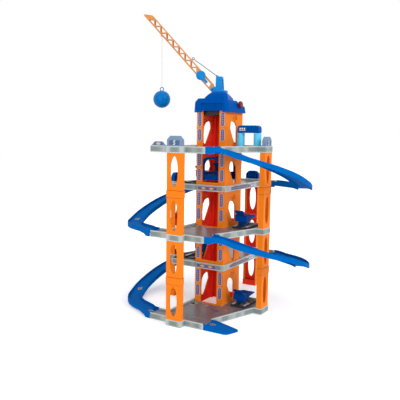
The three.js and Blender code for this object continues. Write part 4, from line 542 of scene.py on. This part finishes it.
def rounded(half_wide, half_high, radius, steps=4):
    """Corners of a rectangle whose corners are quarter circles."""
    quarter = np.linspace(0, math.pi / 2, steps + 1)
    loops = []
    for index, (sx, sy) in enumerate(((1, 1), (-1, 1), (-1, -1), (1, -1))):
        turn = quarter + index * math.pi / 2
        centre = np.array([sx * (half_wide - radius), sy * (half_high - radius)])
        loops.append(centre + radius * np.stack([np.cos(turn), np.sin(turn)], 1))
    return np.vstack(loops)


def strip(half_wide, half_high, point):
    """Corners of an upright strip whose ends come to blunt points."""
    tip = half_wide * 0.35
    lower = np.array(
        [
            [-half_wide, point - half_high],
            [-tip, -half_high],
            [tip, -half_high],
            [half_wide, point - half_high],
        ]
    )
    return np.vstack([lower, -lower])


def ring_sheet(outer, inner, z, thick):
    """A flat sheet between two loops of equal count: row 0 inner, row 1 outer, then the two rows raised."""
    count = len(outer)
    loops = [(inner, z), (outer, z), (outer, z + thick), (inner, z + thick)]
    points = np.vstack([np.column_stack([loop, np.full(count, height)]) for loop, height in loops])
    here = np.arange(count)
    after = np.roll(here, -1)
    faces = []
    for row in range(4):
        low, high = row * count, (row + 1) % 4 * count
        faces += np.stack([here + low, here + high, after + high, after + low], 1).tolist()
    return points, faces


def upright_tube(path, radius, sides):
    """A closed tube down an upright path: a level circle round each place, four-sided faces between each
    circle and the next, and a flat cap at both ends."""
    circle = np.column_stack([disc(radius, sides), np.zeros(sides)])
    points = (path[:, None, :] + circle[None]).reshape(-1, 3)
    here = np.arange(sides)
    after = np.roll(here, -1)
    row = np.arange(len(path) - 1)[:, None] * sides
    walls = np.stack([here + row, here + row + sides, after + row + sides, after + row], 2)
    last = len(points) - 1
    caps = [list(range(sides)), list(range(last, last - sides, -1))]
    return points, walls.reshape(-1, 4).tolist() + caps


def rays_to(corners, count):
    """Where evenly turned rays from the middle line meet a convex outline: each ray is crossed with each
    side, by the cross products of their ways, and the nearest meeting within a side's length counts."""
    corners = np.asarray(corners, float)
    way = disc(1.0, count)
    edge = np.roll(corners, -1, 0) - corners
    cross = way[:, None, 0] * edge[None, :, 1] - way[:, None, 1] * edge[None, :, 0]
    safe = np.where(np.abs(cross) < 1e-12, 1e-12, cross)
    far = (corners[None, :, 0] * edge[None, :, 1] - corners[None, :, 1] * edge[None, :, 0]) / safe
    share = (corners[None, :, 0] * way[:, None, 1] - corners[None, :, 1] * way[:, None, 0]) / safe
    hit = (far > 0) & (share >= -1e-6) & (share <= 1 + 1e-6)
    return way * np.where(hit, far, np.inf).min(1)[:, None]


def on_level(level, shapes):
    """Shapes of an odd deck, turned by half a turn about the tower's axis where the level is even."""
    turn = np.array([-1, -1, 1]) if level % 2 == 0 else np.ones(3)
    return [(points * turn, faces) for points, faces in shapes]


def gather(parts):
    """Several closed shapes as one set of points and faces."""
    points, faces, base = [], [], 0
    for place, loops in parts:
        points.append(place)
        faces += [[index + base for index in loop] for loop in loops]
        base += len(place)
    return np.vstack(points), faces


def add_piece(name, parts, material, body="garage", smooth=False):
    """One object from closed shapes, at the origin, with its material, riding on a body."""
    points, faces = gather(parts)
    mesh = bpy.data.meshes.new(name)
    mesh.from_pydata(points.tolist(), [], faces)
    mesh.validate()
    if smooth:
        mesh.shade_smooth()
    mesh.materials.append(material)
    piece = bpy.data.objects.new(name, mesh)
    bpy.context.scene.collection.objects.link(piece)
    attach(piece, body)
    return piece


def ground_under(name, x, y):
    """The highest place on a node over (x, y), and the way it faces: the plumb line meets a triangle a, b, c
    where its three cross products with the sides, seen from above, have one sign; they weigh the heights."""
    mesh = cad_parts[name].data
    places = np.empty(len(mesh.vertices) * 3)
    corners = np.empty(len(mesh.loops), int)
    mesh.vertices.foreach_get("co", places)
    mesh.loops.foreach_get("vertex_index", corners)
    triangles = places.reshape(-1, 3)[corners].reshape(-1, 3, 3)
    away = triangles[:, :, :2] - (x, y)
    after = np.roll(away, -1, 1)
    weights = np.roll(away[:, :, 0] * after[:, :, 1] - away[:, :, 1] * after[:, :, 0], -1, 1)
    whole = weights.sum(1)
    met = (weights.min(1) >= 0) & (whole > 1e-12)
    heights = (weights[met] * triangles[met][:, :, 2]).sum(1) / whole[met]
    best = heights.argmax()
    a, b, c = triangles[met][best]
    normal = np.cross(b - a, c - a)
    return np.array([x, y, heights[best]]), normal / np.linalg.norm(normal)


# Which plastic each solid has


def nodes_with(*starts):
    """Solids whose names start with one of these."""
    return [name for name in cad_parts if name.startswith(starts)]


def nodes_holding(word):
    """Solids whose names hold a word."""
    return [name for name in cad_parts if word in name]


class GARAGE_OT_plastics(bpy.types.Operator):
    """Give every solid its plastic, wire or gear finish"""

    bl_idname = "garage.plastics"
    bl_label = "Plastics"

    def execute(self, context):
        paint = colours()
        for build in (moulding_group, inward_group, rim_highlight_group, dust_group):
            build()
        warm, cool, cold = (1.0, 0.5, 0.1), (0.6, 0.8, 1.0), (0.03, 0.4, 1.0)
        # inner paints a red shade where the orange faces the tower's axis
        orange = plastic("Orange ABS", paint.orange, 0.36, inner=paint.inner, gloss=0.06, sheen=warm)
        boom = plastic("Boom Orange", paint.boom, 0.4)
        # rims paints highlights on the decks' edges
        deck = plastic("Deck Grey", paint.grey, 0.42, rims=0.65, gloss=0.4)
        ramp = plastic("Ramp Blue", paint.ramp, 0.35, gloss=0.002, sheen=cold)
        roof = plastic("Roof Blue", paint.roof, 0.35, gloss=0.02, sheen=cold)
        crane = plastic("Crane Blue", paint.crane, 0.32, gloss=0.15, sheen=cool)
        deep = plastic("Deep Blue", paint.deep, 0.35, gloss=0.04, sheen=cold)
        lintel = plastic("Lintel Blue", paint.roof, 0.35, gloss=0.04, sheen=cold)
        roller = plastic("Roller Cyan", paint.cyan, 0.5)
        slate = plastic("Sign Slate", paint.slate, 0.5)
        dark = plastic("Dark Gear", paint.dark, 0.45)
        knob = plastic("Knob Red", paint.knob, 0.35)
        ball = plastic("Ball Blue", paint.ball, 0.2, gloss=0.12, coat=0.08, sheen=cold)
        wire = wire_metal("Stay Wire", paint.wire)
        # A later line takes a node from an earlier one
        for names, material in (
            (nodes_with("tower_storey"), orange),
            (nodes_with("front_column", "right_column", "back_column", "left_column"), orange),
            (nodes_with("boom"), boom),
            (nodes_with("deck_"), deck),
            (nodes_holding("ramp"), ramp),
            (nodes_with("roof_cover", "back_column_cap", "left_column_cap"), roof),
            (nodes_with("crane_", "string_winch"), crane),
            (nodes_with("lift_cabin", "jack_platform"), deep),
            (nodes_with("wash_lintel"), lintel),
            (nodes_holding("roller"), roller),
            (nodes_with("front_column_cap", "right_column_cap", "rim_sign"), slate),
            (nodes_with("hoist_cradle", "hoist_drum", "wash_base", "boom_pin", "jack_base"), dark),
            (nodes_with("lift_knob"), knob),
            (nodes_with("wrecking_ball"), ball),
            (nodes_with("boom_stay"), wire),
        ):
            for name in names:
                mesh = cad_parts[name].data
                mesh.materials.clear()
                mesh.materials.append(material)
        return {"FINISHED"}


class GARAGE_OT_string(bpy.types.Operator):
    """Hang the ball's string under the boom"""

    bl_idname = "garage.string"
    bl_label = "String"

    def execute(self, context):
        low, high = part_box("hoist_string")
        middle = (low + high) / 2
        radius = (high.x - low.x) / 2
        heights = np.linspace(high.z, low.z, STRING_RINGS)
        path = np.column_stack([np.full(STRING_RINGS, middle.x), np.full(STRING_RINGS, middle.y), heights])
        tube = upright_tube(path, radius, STRING_SIDES)
        cotton = twisted_cotton("String", colours().string, sizes().string_twist)
        string = add_piece("ball_string", [tube], cotton, "swinging_ball", smooth=True)
        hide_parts("hoist_string")
        return {"FINISHED"}


class GARAGE_OT_roads(bpy.types.Operator):
    """Lay the printed road sheets on the decks"""

    bl_idname = "garage.roads"
    bl_label = "Road Sheets"

    def execute(self, context):
        tar = asphalt("Printed Road", colours().road)
        outer = rays_to(PLAZA, SHEET_RAYS)
        inner = rays_to(TOWER_HOLE, SHEET_RAYS)
        lane = rounded(SHEET_HALF, (LANE_FRONT - LANE_BACK) / 2 - RIM, SHEET_CORNER)
        for level in range(1, LEVELS + 1):
            z = road_height(level) + INK / 4
            plaza = ring_sheet(outer, inner, z, INK)
            strip_of_lane = slab(lane, (LANE_X, LANE_MIDDLE, z), RIGHT, BACK, INK)
            add_piece(f"road_sheet_{level}", on_level(level, [plaza, strip_of_lane]), tar)
        return {"FINISHED"}


def lane_marks():
    """Dashes down the lane and its two edge lines, as places and corners in plan for an odd deck."""
    line = sizes().line_width
    dash = rounded(0.0062, line / 2, line * 0.2)
    edge = rounded(0.072, line * 0.3, line * 0.1)
    marks = [((x, LANE_MIDDLE), dash) for x in DASHES]
    return marks + [((LANE_X, y), edge) for y in (-LANE_FRONT + RIM + 0.0045, -LANE_BACK - 0.002)]


class GARAGE_OT_marks(bpy.types.Operator):
    """Print the lane's lines and the coloured patches on the roads"""

    bl_idname = "garage.marks"
    bl_label = "Road Marks"

    def execute(self, context):
        paint = colours()
        # Each ink's places and corners in plan, for an odd deck
        prints = {
            "lines": (print_ink("Faded Line", paint.faded), lane_marks()),
            "plate": (
                print_ink("Plate Print", paint.plate),
                [((-0.0315, -0.0735), rounded(0.0105, 0.0120, 0.0008))],
            ),
            "leaf": (
                print_ink("Green Print", paint.green),
                [((-0.0345, -0.0725), disc(0.0046, 20, 1.4)), ((-0.0270, -0.0765), disc(0.0032, 16, 1.7))],
            ),
            "spot": (print_ink("Brass Print", paint.brass), [((0.0085, -0.0690), disc(0.0070, 28, 0.9))]),
            "dusk": (
                print_ink("Dusk Print", paint.dusk),
                [((0.0510, -0.0950), disc(0.0105, 24, 0.62)), ((0.0365, -0.0890), disc(0.0050, 20, 0.8))],
            ),
            "blush": (
                print_ink("Pink Print", paint.pink),
                [
                    ((0.0735, -0.0800), rounded(0.0075, 0.0018, 0.0008)),
                    ((0.0680, -0.0740), rounded(0.0018, 0.0060, 0.0008)),
                ],
            ),
        }
        for level in range(1, LEVELS + 1):
            z = road_height(level) + INK
            for label, (ink, marks) in prints.items():
                shapes = [slab(corners, (*at, z), RIGHT, BACK, INK) for at, corners in marks]
                add_piece(f"road_{label}_{level}", on_level(level, shapes), ink)
        return {"FINISHED"}


class GARAGE_OT_post_labels(bpy.types.Operator):
    """Stick the long labels on the tower's posts"""

    bl_idname = "garage.post_labels"
    bl_label = "Post Labels"

    def execute(self, context):
        paint = colours()
        half = sizes().label_width / 2
        borders, fields, bars = [], [], []
        for level, side, face, label in product(range(1, LEVELS + 1), (-1, 1), (-1, 1), POST_LABELS):
            height, reach = label
            middle = np.array([side * POST_X, face * TOWER_Y, rim_height(level) + height])
            out, along = face * BACK, -face * RIGHT
            field = strip(half * 0.74, reach * 0.92, 0.0035)
            borders.append(slab(strip(half, reach, 0.004), middle, along, UP, INK))
            fields.append(slab(field, middle + out * INK, along, UP, INK / 2))
            bar = rounded(half * 0.3, reach * 0.075, 0.0003)
            for step in np.arange(POST_BARS) - POST_BARS // 2:
                place = middle + out * INK * 1.5 + UP * step * reach * 0.3
                bars.append(slab(bar, place, along, UP, INK / 2))
        add_piece("post_label_borders", borders, print_ink("Label Border", paint.border))
        add_piece("post_label_fields", fields, print_ink("Label Violet", paint.violet))
        add_piece("post_label_bars", bars, print_ink("Lilac Print", paint.lilac))
        return {"FINISHED"}


class GARAGE_OT_edge_labels(bpy.types.Operator):
    """Stick the printed strips on the edges of the even decks"""

    bl_idname = "garage.edge_labels"
    bl_label = "Edge Labels"

    def execute(self, context):
        paint = colours()
        inks = {
            "borders": bpy.data.materials["Label Border"],
            "fields": bpy.data.materials["Label Violet"],
            "spots": print_ink("Gold Print", paint.gold),
            "strips": bpy.data.materials["Dusk Print"],
            "ends": print_ink("White Print", paint.white),
            "lines": bpy.data.materials["Label Border"],
        }
        shapes = {label: [] for label in inks}

        def stick(label, corners, place, along, lift):
            """Adds a print raised by lift times INK; the lowest print is one INK thick, the others half."""
            raised = place + np.cross(along, UP) * INK * lift
            shapes[label].append(slab(corners, raised, along, UP, INK / 2 if lift else INK))

        half_front, half_end = 0.0291, 0.0135
        for level in (2, 4):
            z = rim_height(level) - EDGE_DROP
            front, side = np.array([-0.005, -0.052, z]), np.array([0.047, 0.040, z])
            stick("borders", rounded(0.030, 0.0052, 0.001), front, RIGHT, 0)
            stick("fields", rounded(half_front, 0.0043, 0.0008), front, RIGHT, 1)
            for share in (-0.42, 0.42):
                stick("spots", disc(0.0088, 4, 0.36), front + RIGHT * half_front * share, RIGHT, 1.5)
            stick("strips", rounded(0.056, 0.0036, 0.001), side, BACK, 0)
            stick("lines", rounded(0.054, 0.0004, 0.0002), side, BACK, 1)
            end = side + BACK * 0.072
            stick("borders", rounded(0.0145, 0.0048, 0.001), end, BACK, 0)
            stick("fields", rounded(half_end, 0.0038, 0.0008), end, BACK, 1)
            for share in (-0.6, 0.0, 0.6):
                stick("ends", rounded(0.0022, 0.0026, 0.0006), end + BACK * half_end * share, BACK, 1.5)
        for label, parts in shapes.items():
            add_piece(f"edge_label_{label}", parts, inks[label])
        return {"FINISHED"}


def number_strips(height):
    """A plain figure five: three bars across, one up on the left and one down on the right, as places and
    corners."""
    wide, stroke = height * 0.3, height * 0.1
    high = height / 2 - stroke
    bar = rounded(wide, stroke, stroke * 0.4)
    post = rounded(stroke, high / 2 + stroke, stroke * 0.4)
    return [
        ((0, high), bar),
        ((0, 0), bar),
        ((0, -high), bar),
        ((stroke - wide, high / 2), post),
        ((wide - stroke, -high / 2), post),
    ]


class GARAGE_OT_signs(bpy.types.Operator):
    """Print the number on the two sign caps, and the plates on the rim sign and on the car wash"""

    bl_idname = "garage.signs"
    bl_label = "Signs"

    def execute(self, context):
        paint = colours()
        fields, figures = [], []
        for name, along, reach in (("front_column_cap", RIGHT, 0.0145), ("right_column_cap", BACK, 0.0110)):
            low, high = corners_of(name)
            out = np.cross(along, UP)
            middle = np.where(out == 0, (low + high) / 2, np.where(out > 0, high, low))
            middle[2] = low[2] + (high[2] - low[2]) * 0.47
            fields.append(slab(rounded(reach, 0.0056, 0.0012), middle, along, UP, INK))
            for (across, above), corners in number_strips(sizes().digit):
                place = middle + out * INK + along * across + UP * above
                figures.append(slab(corners, place, along, UP, INK / 2))
        low, high = corners_of("rim_sign")
        middle = np.array([(low[0] + high[0]) / 2, -LANE_FRONT, rim_height(LEVELS) + 0.0045])
        fields.append(slab(rounded(0.0125, 0.0036, 0.0008), middle, RIGHT, UP, INK))
        ovals = [slab(disc(0.0066, 24, 0.48), middle + FRONT * INK, RIGHT, UP, INK / 2)]
        low, high = corners_of("wash_lintel")
        middle = np.array([low[0] + 0.0150, low[1], (low[2] + high[2]) / 2])
        fields.append(slab(rounded(0.0110, 0.0050, 0.0010), middle, RIGHT, UP, INK))
        for across, above in ((-0.0062, 0.0012), (0.0, 0.0018), (0.0062, 0.0012)):
            place = middle + (across, -INK, above)
            figures.append(slab(disc(0.0017, 16, 1.3), place, RIGHT, UP, INK / 2))
        figures.append(slab(rounded(0.0090, 0.0006, 0.0003), middle + (0, -INK, -0.0028), RIGHT, UP, INK / 2))
        add_piece("sign_fields", fields, print_ink("Sign Field", paint.field))
        add_piece("sign_figures", figures, print_ink("Sign Figure", paint.figure))
        add_piece("sign_oval", ovals, print_ink("Sand Print", paint.sand))
        return {"FINISHED"}


class GARAGE_OT_badges(bpy.types.Operator):
    """Stick the lozenge badges on the ramps"""

    bl_idname = "garage.badges"
    bl_label = "Ramp Badges"

    def execute(self, context):
        reach = sizes().badge / 2
        rims, fields, marks = [], [], []
        for name, x, y, heading in BADGES:
            place, normal = ground_under(name, x, y)
            way = np.array([math.cos(math.radians(heading)), math.sin(math.radians(heading)), 0])
            along = way - normal * (way @ normal)
            along = along / np.linalg.norm(along)
            up = np.cross(normal, along)
            rims.append(slab(disc(reach, 4, 0.8), place - normal * INK, along, up, INK * 3))
            fields.append(slab(disc(reach * 0.74, 4, 0.8), place + normal * INK * 2, along, up, INK / 2))
            marks.append(slab(disc(reach * 0.26, 4, 0.8), place + normal * INK * 2.5, along, up, INK / 2))
        add_piece("badge_rims", rims, bpy.data.materials["Brass Print"])
        add_piece("badge_fields", fields, bpy.data.materials["Dusk Print"])
        add_piece("badge_marks", marks, bpy.data.materials["Plate Print"])
        return {"FINISHED"}


def wheel_pads():
    """Two rounded pads on each jack's wheel tracks."""
    pads = []
    for level, side in product(range(1, LEVELS), (-1, 1)):
        low, high = corners_of(f"jack_base_{level}")
        x, y = (low[0] + high[0]) / 2 + side * TRACK_SIDE, low[1] + 0.021
        place = (x, y, road_height(level) + TRACK_TOP)
        pads.append(slab(rounded(0.0036, 0.0150, 0.0030), place, RIGHT, BACK, INK * 3))
    return pads


def column_trim():
    """Painted shade lines round three sides of each column, under and over the decks where its segments join,
    standing in for the shade at the collars' steps, and snap pegs under each deck on the right and left
    columns."""
    seams, pegs = [], []
    for name, out, levels in (
        ("front_column_4", FRONT, (2, 4)),
        ("right_column_4", RIGHT, (2, 4)),
        ("back_column_3", BACK, (1, 3)),
        ("left_column_3", -RIGHT, (1, 3)),
    ):
        low, high = corners_of(name)
        along, half = np.cross(UP, out), (high - low) / 2
        wide, deep = abs(along @ half), abs(out @ half)
        middle = (low + high) / 2 * (1, 1, 0)
        front, side = rounded(wide, SEAM_SHADE, SEAM_SHADE / 3), rounded(deep, SEAM_SHADE, SEAM_SHADE / 3)
        for level in levels:
            for z in (rim_height(level) - BAND - SEAM_SHADE, rim_height(level) + SEAM_SHADE):
                if z < 0:
                    continue
                place = middle + UP * z
                seams.append(slab(front, place + out * deep, along, UP, INK))
                for way in (1, -1):
                    seams.append(slab(side, place + along * wide * way, -out * way, UP, INK))
        if out @ RIGHT:
            for level in range(2, LEVELS + 1):
                place = middle + UP * (min(rim_height(level), high[2]) - PEG_DROP)
                pegs.append(slab(disc(sizes().peg, 14), place + out * deep, along, UP, INK * 2))
    return seams, pegs


def ball_screws():
    """Two screw heads on opposite sides of the ball."""
    low, high = corners_of("wrecking_ball")
    radius = (high[0] - low[0]) / 2
    centre = np.array([(low[0] + high[0]) / 2, (low[1] + high[1]) / 2, low[2] + radius])
    head = disc(0.0022, 16)
    ways = (SCREW_AXIS, -SCREW_AXIS)
    return [slab(head, centre + out * (radius - INK), np.cross(UP, out), UP, INK * 3) for out in ways]


class GARAGE_OT_trim(bpy.types.Operator):
    """Add the jacks' wheel pads, the columns' painted seam shade and snap pegs, and the ball's screws"""

    bl_idname = "garage.trim"
    bl_label = "Small Trim"

    def execute(self, context):
        paint = colours()
        seams, pegs = column_trim()
        # Painted shade at the columns' joints, also the colour of the snap pegs
        seam_shade_and_pegs = plastic("Seam Shade And Pegs", paint.seam_shade_and_pegs, 0.45)
        add_piece("wheel_pads", wheel_pads(), plastic("Pad Silver", paint.silver, 0.35, gloss=0.4))
        add_piece("snap_pegs", pegs, seam_shade_and_pegs)
        add_piece("column_seam_shade", seams, seam_shade_and_pegs)
        add_piece("ball_screws", ball_screws(), bpy.data.materials["Dark Gear"], "swinging_ball")
        return {"FINISHED"}


class GARAGE_OT_stage(bpy.types.Operator):
    """Set the camera, the pale floor and the soft lamps"""

    bl_idname = "garage.stage"
    bl_label = "Stage"

    def execute(self, context):
        scene = context.scene
        scene.view_settings.view_transform = "Standard"
        aim_camera(scene)
        lay_floor(scene)
        light_room(scene)
        return {"FINISHED"}


def put(scene, name, data, axes, place=(0, 0, 0)):
    """A camera or a lamp whose three axes are given, at its place."""
    item = bpy.data.objects.new(name, data)
    turn = np.eye(4)
    turn[:3, :3] = np.column_stack(axes)
    turn[:3, 3] = place
    scene.collection.objects.link(item)
    item.matrix_world = Matrix(turn.tolist())
    return item


def aim_camera(scene):
    """The camera stands where the photograph was taken: yaw, pitch and roll turn its three axes."""
    yaw, pitch, roll = (math.radians(angle) for angle in (CAMERA_YAW, CAMERA_PITCH, CAMERA_ROLL))
    back = np.array([math.sin(yaw) * math.cos(pitch), -math.cos(yaw) * math.cos(pitch), math.sin(pitch)])
    right = np.array([math.cos(yaw), math.sin(yaw), 0])
    up = np.cross(back, right)
    rolled_right = right * math.cos(roll) + up * math.sin(roll)
    rolled_up = up * math.cos(roll) - right * math.sin(roll)
    data = bpy.data.cameras.new("camera")
    data.sensor_width = CAMERA_SENSOR
    data.lens = CAMERA_LENS
    data.clip_end = CAMERA_REACH
    scene.camera = put(scene, "camera", data, (rolled_right, rolled_up, back), CAMERA_PLACE)


def white_to_view(tree):
    """1 for camera, glossy and clear rays, which see the white background, and 0 for the rays that light."""
    path = tree.nodes.new("ShaderNodeLightPath")
    seen = math_node(tree, "MAXIMUM", path.outputs["Is Camera Ray"], path.outputs["Is Glossy Ray"])
    return math_node(tree, "MAXIMUM", seen, path.outputs["Is Transmission Ray"])


def lay_floor(scene):
    """A square white floor that keeps a soft shadow; the camera sees it a little brighter, so that it meets
    the white background."""
    material, tree, shader = new_material("Floor White")
    faint = noise(tree, object_place(tree), scale=3.0)
    colour = blend_colours(tree, faint, (0.93, 0.93, 0.93, 1), (0.95, 0.95, 0.95, 1))
    seen = tree.nodes.new("ShaderNodeLightPath").outputs["Is Camera Ray"]
    feed(tree, shader.inputs["Base Color"], colour)
    feed(tree, shader.inputs["Roughness"], 0.9)
    feed(tree, shader.inputs["Specular IOR Level"], 0.0)
    feed(tree, shader.inputs["Emission Color"], (1, 1, 1, 1))
    feed(tree, shader.inputs["Emission Strength"], math_node(tree, "MULTIPLY", seen, FLOOR_LIFT))
    corners = np.array([(-1, -1, 0), (1, -1, 0), (1, 1, 0), (-1, 1, 0)]) * FLOOR_REACH
    mesh = bpy.data.meshes.new("floor")
    mesh.from_pydata(corners.tolist(), [], [[0, 1, 2, 3]])
    mesh.materials.append(material)
    floor = bpy.data.objects.new("floor", mesh)
    scene.collection.objects.link(floor)


def light_room(scene):
    """A white world and three broad suns: a key from the right, a weak one from above, a fill in front."""
    world = bpy.data.worlds.new("Studio")
    scene.world = world
    world.use_nodes = True
    tree = world.node_tree
    tree.nodes.clear()
    mix = tree.nodes.new("ShaderNodeMixShader")
    feed(tree, mix.inputs[0], white_to_view(tree))
    for index, strength in ((1, ROOM_WORLD), (2, SEEN_WORLD)):
        light = tree.nodes.new("ShaderNodeBackground")
        feed(tree, light.inputs["Color"], (1, 1, 1, 1))
        feed(tree, light.inputs["Strength"], strength)
        feed(tree, mix.inputs[index], light.outputs[0])
    tree.links.new(mix.outputs[0], tree.nodes.new("ShaderNodeOutputWorld").inputs[0])
    for name, way, energy, spread in LAMPS:
        data = bpy.data.lights.new(name, "SUN")
        data.energy = energy
        data.angle = math.radians(spread)
        way = np.array(way) / np.linalg.norm(way)
        side = np.cross(UP, way)
        side = side / np.linalg.norm(side)
        put(scene, name, data, (side, np.cross(way, side), way))


OPERATORS = (
    GARAGE_OT_stage,
    GARAGE_OT_plastics,
    GARAGE_OT_string,
    GARAGE_OT_roads,
    GARAGE_OT_marks,
    GARAGE_OT_post_labels,
    GARAGE_OT_edge_labels,
    GARAGE_OT_signs,
    GARAGE_OT_badges,
    GARAGE_OT_trim,
)


class GARAGE_PT_panel(bpy.types.Panel):
    """Lists the steps that dress the garage"""

    bl_label = "Garage"
    bl_space_type = "VIEW_3D"
    bl_region_type = "UI"
    bl_category = "Garage"

    def draw(self, context):
        for operator in OPERATORS:
            self.layout.operator(operator.bl_idname)


CLASSES = (GarageColours, GarageSizes, *OPERATORS, GARAGE_PT_panel)


def register():
    for item in CLASSES:
        bpy.utils.register_class(item)
    bpy.types.Scene.garage_colours = bpy.props.PointerProperty(type=GarageColours)
    bpy.types.Scene.garage_sizes = bpy.props.PointerProperty(type=GarageSizes)


def unregister():
    del bpy.types.Scene.garage_sizes
    del bpy.types.Scene.garage_colours
    for item in reversed(CLASSES):
        bpy.utils.unregister_class(item)


def main():
    """Runs every step in order."""
    register()
    for operator in OPERATORS:
        group, name = operator.bl_idname.split(".")
        getattr(getattr(bpy.ops, group), name)()


if __name__ == "__main__":
    main()
